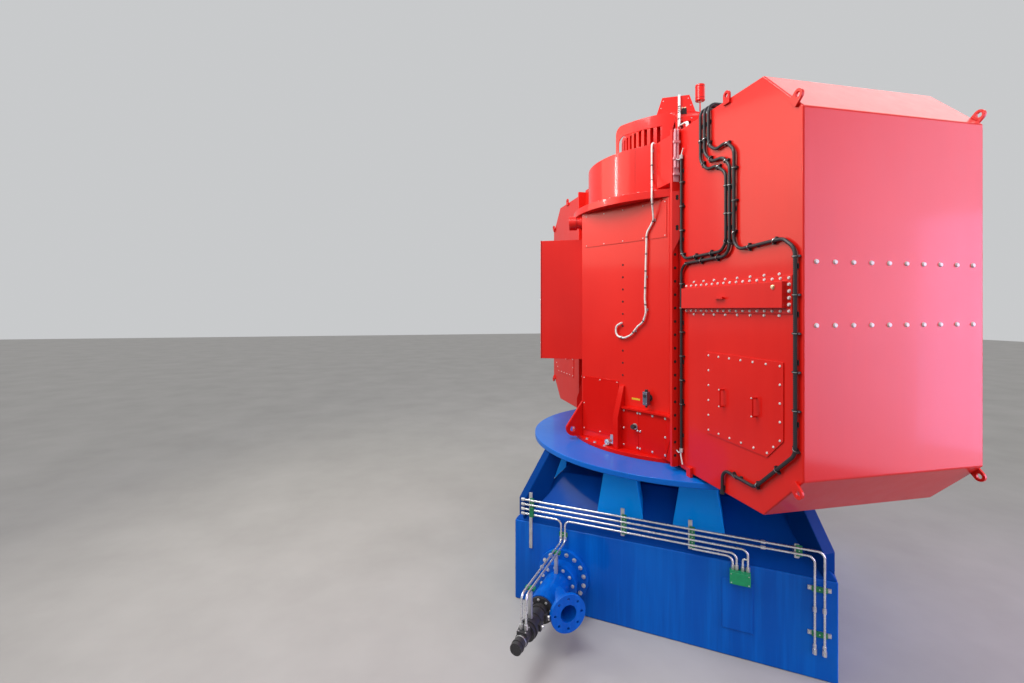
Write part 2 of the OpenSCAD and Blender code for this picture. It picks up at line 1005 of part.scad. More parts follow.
module bearing_drum() {
    color(red)
        translate([0, 0, shelf_top]) cylinder(r = ring_r, h = drum_h);
}

// Crown guards: arched plates that stand on the drum's rim, open below the arch
guard_turn = 54.5;
guard_t = 14;
guard_half = 334;
guard_arch = 95;
guard_band = 132;
guard_post = 44;
strut_lean = 76;
strut_w = 64;

function arc(centre, r, from, to, steps) =
    [for (i = [0:steps])
        let (a = from + (to - from) * i / steps) centre + r * [cos(a), sin(a)]];

module guard_outline() {
    foot = ring_top;
    inner_arch = guard_arch - 10;
    difference() {
        polygon(concat(
            [[-guard_half, foot]],
            arc([-guard_half + guard_arch, guard_top - guard_arch], guard_arch, 180, 90, 6),
            [[guard_half, guard_top + 8], [guard_half + strut_lean, guard_top - 42],
                [guard_half + 4, foot]]));
        polygon(concat(
            [[-guard_half + guard_post, foot - eps]],
            arc([-guard_half + guard_post + inner_arch, guard_top - guard_band - inner_arch],
                inner_arch, 180, 90, 6),
            [[guard_half - 60, guard_top - guard_band],
                [guard_half + 4 - strut_w - 12, foot - eps]]));
    }
}

module crown_guards() {
    color(red)
        left_and_right()
            intersection() {
                translate([0, 0, ring_top])
                    difference() {
                        cylinder(r = guard_r, h = guard_top);
                        translate([0, 0, -eps]) cylinder(r = guard_r - guard_t,
                            h = guard_top + 2 * eps);
                    }
                facing(guard_turn)
                    translate([0, -guard_r / 2, 0])
                        rotate([90, 0, 0]) linear_extrude(guard_r) guard_outline();
            }
}

// Louvred drum: upright slots sunk into its wall between two plain rims
slot_w = 46;
slot_depth = 90;
rim_low = 70;
rim_high = 60;

module louvre_drum() {
    color(red)
        difference() {
            translate([0, 0, ring_top]) cylinder(r = louvre_r, h = louvre_h);
            for (i = [0:louvre_count - 1])
                rotate([0, 0, 360 * i / louvre_count])
                    block([louvre_r - slot_depth, -slot_w / 2, ring_top + rim_low],
                        [louvre_r + slot_w, slot_w / 2, louvre_top - rim_high]);
        }
}

module crown_roof() {
    color(red)
        translate([0, 0, louvre_top])
            cylinder(r1 = louvre_r, r2 = crown_top_r, h = crown_h);
}

// Hood with sloping sides on a round foot, and the breather beside it
hood_base = [262, 165];
hood_top = [172, 110];
hood_lip = 20;
hood_off = 50;
hood_turn = 29.5;
lip_top = crown_top + hood_lip;

module hood_shape() {
    translate([0, 0, lip_top])
        facing(hood_turn)
            translate([-hood_off, 0, 0])
                frustum(hood_base[0], hood_top[0], hood_base[1], hood_top[1], hood_h);
}

module crown_hood() {
    color(red) {
        translate([0, 0, crown_top]) cylinder(r = crown_top_r, h = hood_lip);
        hood_shape();
    }
}

breather_at = [272, -62];
breather_foot_r = 22;
breather_foot_h = 120;
breather_stem_r = 9;
breather_stem_h = 156;
breather_r = 62;
breather_h = 214;
breather_cap_r = 14;
breather_cap_h = 18;

module breather() {
    color(red)
        translate([breather_at[0], breather_at[1], lip_top]) {
            cylinder(r = breather_foot_r, h = breather_foot_h, $fn = round_fn);
            translate([0, 0, breather_foot_h]) {
                cylinder(r = breather_stem_r, h = breather_stem_h, $fn = round_fn);
                translate([0, 0, breather_stem_h]) {
                    cylinder(r = breather_r, h = breather_h);
                    cylinder(r = breather_cap_r, h = breather_h + breather_cap_h,
                        $fn = round_fn);
                }
            }
        }
}

// Crown cable: from the front air box over the drum, the louvred drum and the roof to the hood
saddle_t = 8;
saddle_w = 30;
cable_off = saddle_t + cable_r;
cable_turn = 31.6;
cable_bend = 45;
cable_gland = [50 - wall_x, -flange_y - 55];
cable_arch = max(box_top + 70, ring_top + cable_off);
hood_front = hood_base[1] + cable_off + 2;
hood_brow = hood_top[1] + cable_off + 2;

function on_round(turn, r, z) = [-r * sin(turn), -r * cos(turn), z];

cable_route = [
    [cable_gland[0], cable_gland[1], box_top],
    [cable_gland[0], cable_gland[1], cable_arch],
    on_round(cable_turn, (flange_back - 45) / cos(cable_turn), cable_arch),
    on_round(cable_turn, ring_r + 90, ring_top + cable_off),
    on_round(cable_turn, louvre_r + cable_off, ring_top + cable_off),
    on_round(cable_turn, louvre_r + cable_off, louvre_top + 16),
    on_round(cable_turn, crown_top_r + 14, lip_top + cable_off),
    on_round(cable_turn, hood_front, lip_top + cable_off),
    on_round(cable_turn, hood_brow, lip_top + hood_h),
    on_round(cable_turn, hood_brow / 2, lip_top + hood_h + cable_r + 1)];

module crown_cable() {
    color("white") tube_along(cable_route, cable_r, cable_bend, [1, 0, 0]);
}

// Saddles between the crown cable and what it runs along
module cable_saddles() {
    color(steel) {
        facing(cable_turn) {
            for (r = [ring_r + 60, louvre_r + 200])
                block([-saddle_w / 2, -r - saddle_w / 2, ring_top],
                    [saddle_w / 2, -r + saddle_w / 2, ring_top + saddle_t]);
            for (z = [ring_top + rim_low, louvre_top])
                difference() {
                    block([-saddle_w / 2, -louvre_r - saddle_t, z - 50],
                        [saddle_w / 2, -louvre_r / 2, z - 20]);
                    cylinder(r = louvre_r, h = 2 * louvre_top);
                }
            block([-saddle_w / 2, -crown_top_r + 40, lip_top],
                [saddle_w / 2, -crown_top_r + 40 + saddle_w, lip_top + saddle_t]);
        }
        difference() {
            facing(cable_turn)
                block([-saddle_w / 2, -(hood_front + hood_brow) / 2 + cable_r + 3,
                        lip_top + hood_h / 2 - saddle_w / 2],
                    [saddle_w / 2, 0, lip_top + hood_h / 2 + saddle_w / 2]);
            hood_shape();
        }
    }
}

// Cable conduits: up out of the front air box, over its edge and down its left wall
conduit_off = 8;
conduit_x = -wall_x - conduit_off - conduit_r;
conduit_bend = 110;
conduit_entry = -700;
conduit_arch = box_top + 60;
conduit_far = [[-1767, 4850], [-1870, 4742], [-2010, 4735], [-2141, 4640], [-2141, 3955],
    [-1441, 3945], [-1441, 4990]];
conduit_mid = [[-1832, 4900], [-1950, 4795], [-2100, 4785], [-2192, 4690], [-2192, 3905],
    [-1441, 3895], [-1441, 2000]];
conduit_near = [[-1894, 4960], [-2000, 4885], [-2150, 4905], [-2249, 4810], [-2249, 3940],
    [-2800, 3965], [-2915, 3880], [-2915, 2380], [-2500, 2000], [-2140, 2015],
    [-2092, 1960], [-2092, 1815]];

module conduit(route) {
    y = route[0][0];
    tube_along(concat(
        [[conduit_entry, y, box_top], [conduit_entry, y, conduit_arch],
            [conduit_x, y, conduit_arch]],
        [for (p = route) [conduit_x, p[0], p[1]]]), conduit_r, conduit_bend, [0, 1, 0]);
}

module cable_conduits() {
    color(black) {
        conduit(conduit_far);
        conduit(conduit_mid);
        conduit(conduit_near);
    }
}

// Pads that hold the conduits off the wall
pad_l = 40;
pad_w = 30;
pads_far = [[-1767, 5180], [-1767, 4950], [-2141, 4500], [-2141, 4150], [-1900, 3951],
    [-1650, 3948], [-1441, 4850], [-1441, 4500], [-1441, 4150]];
pads_mid = [[-1832, 5180], [-2192, 4500], [-2192, 4150], [-1960, 3902], [-1700, 3899],
    [-1441, 3600], [-1441, 3300], [-1441, 2900], [-1441, 2500], [-1441, 2150]];
pads_near = [[-1894, 5180], [-2249, 4650], [-2249, 4300], [-2520, 3952], [-2915, 3750],
    [-2915, 3400], [-2915, 3050], [-2915, 2600], [-2320, 2008], [-2092, 1850]];

module conduit_pads() {
    color(black)
        for (p = concat(pads_far, pads_mid, pads_near))
            translate([-wall_x - conduit_off, p[0], p[1]])
                block([0, -pad_w / 2, -pad_l / 2], [conduit_off, pad_w / 2, pad_l / 2]);
}

// Sensor hose from the crown down the left front side to its port
hose_off = 8;
hose_on_side = hose_off + hose_r;
hose_bend = 120;
hose_port = [27, 3272];
hose_side = [[484, 4425], [392, 4290], [368, 3560], [383, 3400], [345, 3290], [270, 3240],
    [180, 3140], [80, 3096], [-40, 3118], [-46, 3230], hose_port];
hose_pads_at = [[484, 4425], [372, 3800], [381, 3430], [225, 3190], [20, 3107]];
hose_clear = shelf_r + hose_on_side;

function on_side(x, z, off) =
    let (y = -side_apothem - off)
    [x * cos(side_turn) + y * sin(side_turn), -x * sin(side_turn) + y * cos(side_turn), z];

hose_turn = 45.5;
hose_ring_r = ring_r + hose_on_side;
hose_lift = 12;
hose_route = concat(
    [on_round(hose_turn, guard_r - 60, ring_top + hose_lift + hose_r),
        on_round(hose_turn, hose_ring_r, ring_top + hose_lift + hose_r),
        on_round(hose_turn, hose_ring_r, shelf_top + 180),
        on_round(hose_turn - 1.5, hose_clear, shelf_top + 20),
        on_round(hose_turn - 1.5, hose_clear, housing_top - 20)],
    [for (p = hose_side) on_side(p[0], p[1], hose_on_side + cover_t)],
    [on_side(hose_port[0], hose_port[1], 0)]);

module sensor_hose() {
    color("white") tube_along(hose_route, hose_r, hose_bend, [0, 0, 1]);
}

hose_clip_drops = [77, 317];
hose_clip_half = [14, 18];

module hose_pads() {
    color(steel) {
        for (drop = hose_clip_drops)
            facing(hose_turn)
                block([-hose_clip_half[0], -ring_r - hose_off,
                        ring_top - drop - hose_clip_half[1]],
                    [hose_clip_half[0], -ring_r, ring_top - drop + hose_clip_half[1]]);
        for (p = hose_pads_at)
            on_left_front(p[0], p[1])
                block([-hose_clip_half[1], -hose_off - cover_t, -hose_clip_half[0]],
                    [hose_clip_half[1], p[1] > upper_cover_low ? -cover_t : 0,
                        hose_clip_half[0]]);
    }
}

// Two sensor tubes on the upper part of the left bolting flange
sensor_tube_r = 11;
sensor_tube_x = [-wall_x - 65, -wall_x - 35];
sensor_tube_l = 400;
sensor_tube_y = -flange_y - sensor_tube_r;

module sensor_tubes() {
    color("white")
        for (x = sensor_tube_x)
            translate([x, sensor_tube_y, box_top - sensor_tube_l])
                cylinder(r = sensor_tube_r, h = sensor_tube_l, $fn = round_fn);
}

turbine_casing();
casing_roof();
casing_neck();
support_legs();
corner_braces();
foundation_plate();
access_cover();
junction_box();
oil_tubes();
tube_brackets();
tube_clamps();
injector_flange();
injector_body();
inlet_flange();
servomotor();
base_flange();
stator_housing();
upper_covers();
lower_covers();
side_panels();
gusset_posts();
base_lugs();
drain_valve();
sight_gauge();
terminal_box();
front_duct();
rear_duct();
bolting_flanges();
front_air_box();
rear_air_box();
duct_covers();
hatch_plates();
hatch_handles();
front_lifting_lugs();
rear_lifting_lugs();
foot_blocks();
stub_pipe();
bearing_shelf();
bearing_drum();
crown_guards();
louvre_drum();
crown_roof();
crown_hood();
breather();
crown_cable();
cable_saddles();
cable_conduits();
conduit_pads();
sensor_hose();
hose_pads();
sensor_tubes();
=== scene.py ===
"""Looks of a vertical hydroelectric generator on its turbine casing. Sizes are in metres."""

import json
import math

import bmesh
import bpy
from mathutils import Matrix, Vector


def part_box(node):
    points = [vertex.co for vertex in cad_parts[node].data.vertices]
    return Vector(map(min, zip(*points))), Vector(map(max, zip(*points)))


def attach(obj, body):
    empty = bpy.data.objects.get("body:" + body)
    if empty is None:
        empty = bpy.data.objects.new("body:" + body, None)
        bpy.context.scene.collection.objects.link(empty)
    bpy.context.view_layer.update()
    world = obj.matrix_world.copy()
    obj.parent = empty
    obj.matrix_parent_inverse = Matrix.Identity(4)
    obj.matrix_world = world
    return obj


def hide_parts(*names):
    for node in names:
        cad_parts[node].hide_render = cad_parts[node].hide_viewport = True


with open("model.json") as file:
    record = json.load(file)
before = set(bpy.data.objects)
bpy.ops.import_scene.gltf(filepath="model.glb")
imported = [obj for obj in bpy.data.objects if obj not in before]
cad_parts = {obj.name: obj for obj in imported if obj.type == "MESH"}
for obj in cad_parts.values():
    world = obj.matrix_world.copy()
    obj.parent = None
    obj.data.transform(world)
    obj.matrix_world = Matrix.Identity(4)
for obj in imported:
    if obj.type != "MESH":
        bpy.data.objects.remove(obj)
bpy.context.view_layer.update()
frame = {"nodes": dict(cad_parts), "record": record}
ROOT = "root"
UP = (0, 0, 1)


# Shader nodes


class Flow:
    """A node socket that Python operators work on."""

    def __init__(self, tree, socket):
        self.tree = tree
        self.socket = socket

    def node(self, kind, settings=None, inputs=None, out=0):
        return add_node(self.tree, kind, settings, inputs, out)

    def maths(self, operation, *inputs):
        return self.node("ShaderNodeMath", {"operation": operation}, dict(enumerate(inputs)))

    def __add__(self, other):
        return self.maths("ADD", self, other)

    def __mul__(self, other):
        return self.maths("MULTIPLY", self, other)

    __radd__ = __add__
    __rmul__ = __mul__

    def power(self, exponent):
        return self.maths("POWER", self, exponent)

    def clamp(self):
        return self.node("ShaderNodeClamp", {}, {0: self})


def add_node(tree, kind, settings=None, inputs=None, out=0):
    """Adds a node: settings first, then the values or links of its sockets."""
    node = tree.nodes.new(kind)
    for key, value in (settings or {}).items():
        if key == "stops":
            ramp = node.color_ramp
            while len(ramp.elements) < len(value):
                ramp.elements.new(0.5)
            for element, (place, colour) in zip(ramp.elements, value):
                element.position = place
                element.color = colour
        else:
            setattr(node, key, value)
    for key, value in (inputs or {}).items():
        if isinstance(value, Flow):
            tree.links.new(value.socket, node.inputs[key])
        else:
            node.inputs[key].default_value = value
    return Flow(tree, node.outputs[out]) if len(node.outputs) else None


def mix_colours(tree, factor, a, b, kind="MIX"):
    """Two colours, blended or added by a factor."""
    settings = {"data_type": "RGBA", "blend_type": kind}
    return add_node(tree, "ShaderNodeMix", settings, {0: factor, 6: a, 7: b}, out=2)


def rgb(r, g, b):
    """An opaque colour."""
    return (r, g, b, 1.0)


class Finish:
    """A material in the making: its node tree, its coordinates and its textures."""

    def __init__(self, name):
        self.material = bpy.data.materials.new(name)
        self.material.use_nodes = True
        self.tree = self.material.node_tree
        self.tree.nodes.clear()
        self.place = self.node("ShaderNodeTexCoord", out="Object")

    def node(self, kind, settings=None, inputs=None, out=0):
        return add_node(self.tree, kind, settings, inputs, out)

    def noise(self, scale, detail, roughness=0.5, stretch=(1, 1, 1)):
        """Clouds of noise; a stretch under 1 draws them out along that axis."""
        at = self.node("ShaderNodeMapping", {}, {"Vector": self.place, "Scale": stretch})
        values = {"Vector": at, "Scale": scale, "Detail": detail, "Roughness": roughness}
        return self.node("ShaderNodeTexNoise", {}, values)

    def ramp(self, value, *stops):
        """Colours that a value passes through, each with the place of its stop."""
        stops = [(place, rgb(*colour)) for place, colour in stops]
        return self.node("ShaderNodeValToRGB", {"stops": stops}, {0: value})

    def mix(self, factor, a, b):
        return mix_colours(self.tree, factor, a, b)

    def bump(self, height, strength, distance):
        values = {"Height": height, "Strength": strength, "Distance": distance}
        return self.node("ShaderNodeBump", {}, values)

    def done(self, **sockets):
        """The finished material, from values for the shader's sockets."""
        names = {key.replace("_", " ").title().replace("Ior", "IOR"): v for key, v in sockets.items()}
        shader = self.node("ShaderNodeBsdfPrincipled", {}, names)
        self.node("ShaderNodeOutputMaterial", {}, {"Surface": shader})
        return self.material


# Finishes


def enamel(name, colour, deep, pale, streaks, gloss):
    """Sprayed machine enamel: a slight orange peel, faint clouds, and upright wipe marks."""
    f = Finish(name)
    cloud = f.noise(0.8, 3.0)
    fine = f.noise(7.0, 3.0, 0.6)
    shade = f.ramp(cloud, (0.25, deep), (0.5, colour), (0.78, pale))
    runs = f.noise(9.0, 4.0, 0.7, stretch=(1, 1, 0.045))
    wet = f.ramp(runs, (0.44, (0, 0, 0)), (0.66, (1, 1, 1)))
    shade = f.mix(wet * streaks, shade, rgb(*pale))
    peel = f.noise(240.0, 1.0)
    wave = f.noise(1.6, 1.0)
    return f.done(
        base_color=shade,
        roughness=0.3 + fine * 0.08 + runs * 0.1,
        specular_ior_level=0.2 * gloss,
        coat_weight=0.35 * gloss,
        coat_roughness=0.1,
        normal=f.bump(peel + wave * 14.0, 0.035, 0.003),
    )


def plain_metal(name, colour, roughness, grain=(1, 1, 1)):
    """Drawn or zinc plated metal with a fine grain."""
    f = Finish(name)
    lines = f.noise(120.0, 2.0, 0.6, stretch=grain)
    cloud = f.noise(14.0, 3.0, 0.6)
    return f.done(
        base_color=f.ramp(cloud, (0.3, [0.75 * c for c in colour]), (0.7, colour)),
        metallic=0.85,
        roughness=roughness + lines * 0.12,
        normal=f.bump(lines, 0.08, 0.001),
    )


def matt_plastic(name, colour, roughness):
    """Moulded plastic or thin paint, with faint clouds and a fine skin."""
    f = Finish(name)
    cloud = f.noise(25.0, 3.0, 0.6)
    return f.done(
        base_color=f.ramp(cloud, (0.35, [0.8 * c for c in colour]), (0.7, colour)),
        roughness=roughness + cloud * 0.1,
        normal=f.bump(f.noise(400.0, 1.0), 0.06, 0.0006),
    )


# Each enamel's colour, its deep and pale clouds, the share of its wipe marks, and its gloss
ENAMELS = {
    "machine_red": ((0.66, 0.009, 0.005), (0.6, 0.006, 0.004), (0.71, 0.013, 0.007), 0.2, 1.0),
    "satin_red": ((0.6, 0.006, 0.004), (0.54, 0.005, 0.003), (0.65, 0.009, 0.005), 0.2, 0.35),
    "casing_blue": ((0.0, 0.095, 0.5), (0.0, 0.075, 0.42), (0.001, 0.14, 0.62), 0.8, 0.6),
    "plate_blue": ((0.0, 0.13, 0.58), (0.0, 0.105, 0.5), (0.002, 0.16, 0.66), 0.2, 0.7),
    # Painted shade: a darker copy of the casing blue for the roof and neck, which lie in shade under the
    # plate
    "roof_blue": ((0.0, 0.055, 0.32), (0.0, 0.04, 0.26), (0.001, 0.07, 0.38), 0.2, 0.2),
    # Painted shade: a much darker copy of the casing blue for the corner braces, which stand in shadow under
    # the box
    "brace_blue": ((0.0, 0.035, 0.2), (0.0, 0.028, 0.17), (0.0, 0.045, 0.24), 0.2, 0.1),
    # Painted light: a brighter copy of the plate blue for the support legs, as if more light falls on them
    "leg_blue": ((0.0, 0.33, 1.0), (0.0, 0.28, 0.92), (0.002, 0.38, 1.0), 0.2, 0.5),
}
# Each plastic's colour and roughness
PLASTICS = {
    "label_yellow": ((0.75, 0.5, 0.03), 0.4),
    "clamp_green": ((0.005, 0.2, 0.075), 0.4),
    "box_green": ((0.008, 0.33, 0.13), 0.35),
    "servo_black": ((0.03, 0.03, 0.033), 0.35),
    "conduit_black": ((0.016, 0.015, 0.019), 0.4),
    "hose_white": ((0.8, 0.8, 0.78), 0.4),
    "cap_white": ((0.72, 0.68, 0.68), 0.35),
    "tube_pink": ((0.85, 0.4, 0.45), 0.4),
    "shadow": ((0.012, 0.006, 0.006), 0.8),
}
# Each metal's colour and roughness; the tubes' grain runs along X
METALS = {
    "brass": ((0.75, 0.62, 0.42), 0.3),
    "tube_steel": ((0.82, 0.84, 0.86), 0.2, (0.1, 1, 1)),
    "bracket_steel": ((0.62, 0.64, 0.66), 0.35),
    "gauge_steel": ((0.2, 0.23, 0.32), 0.35),
    "bolt_zinc": ((0.8, 0.8, 0.8), 0.3),
}
FINISHES = {
    name: make(name, *values)
    for make, group in ((enamel, ENAMELS), (matt_plastic, PLASTICS), (plain_metal, METALS))
    for name, values in group.items()
}


# Making pieces

SMOOTH_TURN = 35  # edges that turn less than these degrees are shaded smooth
ROUNDED_TURN = 25  # edges of a node that turn more than these degrees are rounded


def finish_piece(bm, name, finish, *nodes, slot=None, smooth=SMOOTH_TURN):
    """Turns a bmesh into a piece on the machine, with its sharp edges marked."""
    for face in bm.faces:
        face.smooth = True
    for edge in bm.edges:
        edge.smooth = edge.calc_face_angle(0) < math.radians(smooth)
    mesh = bpy.data.meshes.new(name)
    bm.to_mesh(mesh)
    bm.free()
    mesh.materials.append(FINISHES[finish])
    piece = bpy.data.objects.new(name, mesh)
    bpy.context.scene.collection.objects.link(piece)
    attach(piece, ROOT)
    if nodes:
        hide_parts(*nodes)
    return piece


def merged(node):
    """A node's own shape as a clean bmesh: joined corners and whole flat faces."""
    bm = bmesh.new()
    bm.from_mesh(frame["nodes"][node].data)
    bmesh.ops.remove_doubles(bm, verts=bm.verts, dist=1e-5)
    bmesh.ops.dissolve_limit(
        bm, angle_limit=math.radians(0.5), verts=bm.verts, edges=bm.edges, use_dissolve_boundaries=False
    )
    return bm


def round_edges(bm, width):
    """Rounds every sharp edge to a width."""
    edges = [e for e in bm.edges if e.calc_face_angle(0) > math.radians(ROUNDED_TURN)]
    bmesh.ops.bevel(
        bm,
        geom=edges,
        offset=width,
        offset_type="OFFSET",
        affect="EDGES",
        segments=3,
        profile=0.5,
        material=-1,
        clamp_overlap=True,
    )


def dress_node(node, finish, width):
    """A node with its edges rounded, as those of welded and folded plates are."""
    bm = merged(node)
    round_edges(bm, width)
    piece = finish_piece(bm, node + "_dressed", finish, node, slot=SLOT_OF[node])
    flat = piece.modifiers.new("flat_walls", "WEIGHTED_NORMAL")
    flat.keep_sharp = True
    flat.weight = 80


# Places on the machine, from the frame

SIDE_CORNER, FRONT_Y, HOUSING_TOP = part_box("stator_housing")[1]
WALL_X, BOX_FACE, BOX_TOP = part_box("rear_air_box")[1]
FRONT_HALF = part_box("front_duct")[1].x
FLANGE_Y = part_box("bolting_flanges")[1].y
BASE_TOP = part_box("base_flange")[1].z
SHELF_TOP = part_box("bearing_shelf")[1].z
RING_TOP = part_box("bearing_drum")[1].z
LOUVRE_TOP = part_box("louvre_drum")[1].z
LIP_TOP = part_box("breather")[0].z

# Radii of the round pieces, which their meshes only come near to
SHELF_R = 1.415
RING_R = 1.21
GUARD_R = 1.15
LOUVRE_R = 0.76

# The housing's slanted left side: its turn from the front, its distance from the axis and its ends
SIDE_TURN = math.degrees(math.atan2(FRONT_Y, SIDE_CORNER - FRONT_HALF))
APOTHEM = SIDE_CORNER * math.sin(math.radians(SIDE_TURN))
SIDE_LEFT = -SIDE_CORNER * math.cos(math.radians(SIDE_TURN))
SIDE_RIGHT = 0.666


def facing(turn, distance=0.0):
    """Frame of a plane turned from the front to the left: X to its right, -Y out of it."""
    return Matrix.Rotation(math.radians(-turn), 4, "Z") @ Matrix.Translation((0, -distance, 0))


def at_turn(turn, r, z):
    """A point at a turn round the machine's axis."""
    return facing(turn, r) @ Vector((0, 0, z))


FLIP_X = Matrix.Scale(-1, 4, (1, 0, 0))
FLIP_Y = Matrix.Scale(-1, 4, (0, 1, 0))
ENDS = [Matrix.Identity(4), FLIP_Y]
HALVES = [Matrix.Identity(4), FLIP_X]
FOUR = [*HALVES, FLIP_Y, FLIP_X @ FLIP_Y]
QUARTER = Matrix.Rotation(math.radians(90), 4, "Z")

FRONT = facing(0, BOX_FACE)
LEFT = facing(90, WALL_X)
SIDE = facing(SIDE_TURN, APOTHEM)
REAR_SIDE = FLIP_Y @ SIDE
STRIP = facing(0, FLANGE_Y)
GUSSET = STRIP @ Matrix.Translation((-0.935, 0, 0)) @ Matrix.Rotation(math.radians(-22.4), 4, "Z")
CASING = facing(37, 1.62)
ALONG_CASING = CASING.to_3x3() @ Vector((1, 0, 0))
INJECTOR = CASING @ Matrix.Translation((-1.095, 0, 0.42))


def line(a, b, count):
    """Evenly spaced points from a to b."""
    a, b = Vector(a), Vector(b)
    return [a.lerp(b, i / (count - 1)) for i in range(count)]


def circle(r, count, start=0.0):
    """Evenly spaced points round a circle."""
    turns = [start + 2 * math.pi * i / count for i in range(count)]
    return [Vector((r * math.cos(a), r * math.sin(a))) for a in turns]


def round_plate(low, high, inset, pitch):
    """Screw places along the four edges of a plate."""
    x0, z0, x1, z1 = low[0] + inset, low[1] + inset, high[0] - inset, high[1] - inset
    across = max(2, round((x1 - x0) / pitch) + 1)
    up = max(2, round((z1 - z0) / pitch) + 1)
    places = line((x0, z0), (x0, z1), up) + line((x1, z0), (x1, z1), up)
    places += line((x0, z0), (x1, z0), across)[1:-1]
    return places + line((x0, z1), (x1, z1), across)[1:-1]


class Batch:
    """Small closed solids that are gathered into one piece."""

    def __init__(self):
        self.bm = bmesh.new()

    def rod(self, plane, at, r, length, sides=12, tip=None):
        """Cylinder or cone from a point out along a plane's -Y."""
        middle = Matrix.Translation((at[0], at[1] - length / 2, at[2]))
        bmesh.ops.create_cone(
            self.bm,
            cap_ends=True,
            segments=sides,
            radius1=r,
            radius2=r if tip is None else tip,
            depth=length,
            matrix=plane @ middle @ Matrix.Rotation(math.radians(90), 4, "X"),
        )

    def ring(self, at, r, length, sides, along=UP):
        """Short cylinder round a point, such as a nut on a tube."""
        turn = Vector(along).to_track_quat("Z", "Y").to_matrix().to_4x4()
        bmesh.ops.create_cone(
            self.bm,
            cap_ends=True,
            segments=sides,
            radius1=r,
            radius2=r,
            depth=length,
            matrix=Matrix.Translation(at) @ turn,
        )

    def bar(self, plane, low, high):
        """Box between two corners."""
        low, high = Vector(low), Vector(high)
        size = Matrix.Diagonal((*(high - low), 1))
        middle = Matrix.Translation((low + high) / 2)
        bmesh.ops.create_cube(self.bm, size=1, matrix=plane @ middle @ size)

    def slab(self, plane, outline, thick):
        """A flat plate of any outline, with its front on the plane."""
        front = self.bm.faces.new([self.bm.verts.new(plane @ Vector((x, 0, z))) for x, z in outline])
        grown = bmesh.ops.extrude_face_region(self.bm, geom=[front])["geom"]
        back = [v for v in grown if isinstance(v, bmesh.types.BMVert)]
        bmesh.ops.translate(self.bm, verts=back, vec=plane.to_3x3() @ Vector((0, thick, 0)))

    def screws(self, plane, places, r, off=0.0, high=None, sides=8):
        """Low round heads on a plane."""
        high = high or 0.5 * r
        for x, z in places:
            self.rod(plane, (x, -off, z), r, high, sides, 0.72 * r)

    def bolts(self, plane, places, r, off=0.0):
        """Hexagon heads on washers."""
        for x, z in places:
            self.rod(plane, (x, -off, z), 1.3 * r, 0.2 * r, 14)
            self.rod(plane, (x, -off - 0.2 * r, z), r, 0.6 * r, 6)
            self.rod(plane, (x, -off - 0.8 * r, z), r, 0.12 * r, 6, 0.82 * r)

    def hole(self, plane, x, z):
        """A dark disc, as an empty screw hole shows."""
        self.rod(plane, (x, 0.0003, z), 0.015, 0.0011, 16)

    def tube(self, path, r, sides=12, waist=1.0):
        """Round skin along a path; a waist under 1 makes every second ring thinner."""
        rings = []
        u = (path[1] - path[0]).normalized().orthogonal()
        for i, point in enumerate(path):
            ahead = (path[min(i + 1, len(path) - 1)] - path[max(i - 1, 0)]).normalized()
            u = (u - ahead * u.dot(ahead)).normalized()
            v = ahead.cross(u)
            size = r if i % 2 == 0 else r * waist
            around = [point + u * (size * c.x) + v * (size * c.y) for c in circle(1, sides)]
            rings.append([self.bm.verts.new(place) for place in around])
        for a, b in zip(rings, rings[1:]):
            for j in range(sides):
                k = (j + 1) % sides
                self.bm.faces.new((a[j], b[j], b[k], a[k]))
        self.bm.faces.new(rings[0])
        self.bm.faces.new(rings[-1][::-1])

    def done(self, name, finish, *nodes, slot=None, smooth=SMOOTH_TURN):
        """Makes the piece, with its faces turned outwards."""
        bmesh.ops.recalc_face_normals(self.bm, faces=self.bm.faces)
        finish_piece(self.bm, name, finish, *nodes, slot=slot, smooth=smooth)


def rounded(points, radius):
    """A route with its corners rounded to a bend radius."""
    points = [Vector(p) for p in points]
    steps = 8
    path = [points[0]]
    for a, b, c in zip(points, points[1:], points[2:]):
        p, q = (a - b).normalized(), (c - b).normalized()
        half = p.angle(q) / 2
        reach = min(radius / math.tan(half), 0.48 * (a - b).length, 0.48 * (c - b).length)
        centre = b + (p + q).normalized() * (reach / math.cos(half))
        start, end, turn = b + p * reach - centre, b + q * reach - centre, math.pi - 2 * half
        for i in range(steps + 1):
            k = i / steps
            swing = start * math.sin(turn * (1 - k)) + end * math.sin(turn * k)
            path.append(centre + swing / math.sin(turn))
    return path + [points[-1]]


def even_steps(path, pitch):
    """The same path with a point every pitch."""
    out, left = [path[0]], pitch
    for a, b in zip(path, path[1:]):
        length, gone = (b - a).length, 0.0
        while length - gone >= left:
            gone += left
            left = pitch
            out.append(a.lerp(b, gone / length))
        left -= length - gone
    return out


def make_camera():
    """A wide lens to the left of the machine's front, level, and turned a little to the right."""
    data = bpy.data.cameras.new("camera")
    data.lens = 17
    data.sensor_width = 36
    data.shift_y = -0.0316
    data.clip_end = 200
    camera = bpy.data.objects.new("camera", data)
    camera.location = (-3.617, -5.886, 3.437)
    camera.rotation_euler = (math.radians(90), 0, math.radians(-12.48))
    bpy.context.scene.collection.objects.link(camera)
    bpy.context.scene.camera = camera


# Conduits on the air box's left wall

CONDUIT_R = 0.015
CONDUIT_X = -WALL_X - 0.008 - CONDUIT_R
CONDUIT_ARCH = BOX_TOP + 0.06
CONDUIT_BEND = 0.11
CONDUIT_END_Y = -1.441
RIB_PITCH = 0.0075
# Distance from the machine's axis and height of each point, in millimetres
CONDUIT_ROUTES = [
    [(1767, 4850), (1870, 4742), (2010, 4735), (2141, 4640), (2141, 3955), (1441, 3945), (1441, 4990)],
    [(1832, 4900), (1950, 4795), (2100, 4785), (2192, 4690), (2192, 3905), (1441, 3895), (1441, 2000)],
    [
        (1894, 4960), (2000, 4885), (2150, 4905), (2249, 4810), (2249, 3940), (2800, 3965), (2915, 3880),
        (2915, 2380), (2500, 2000), (2140, 2015), (2092, 1960), (2092, 1815),
    ],
]


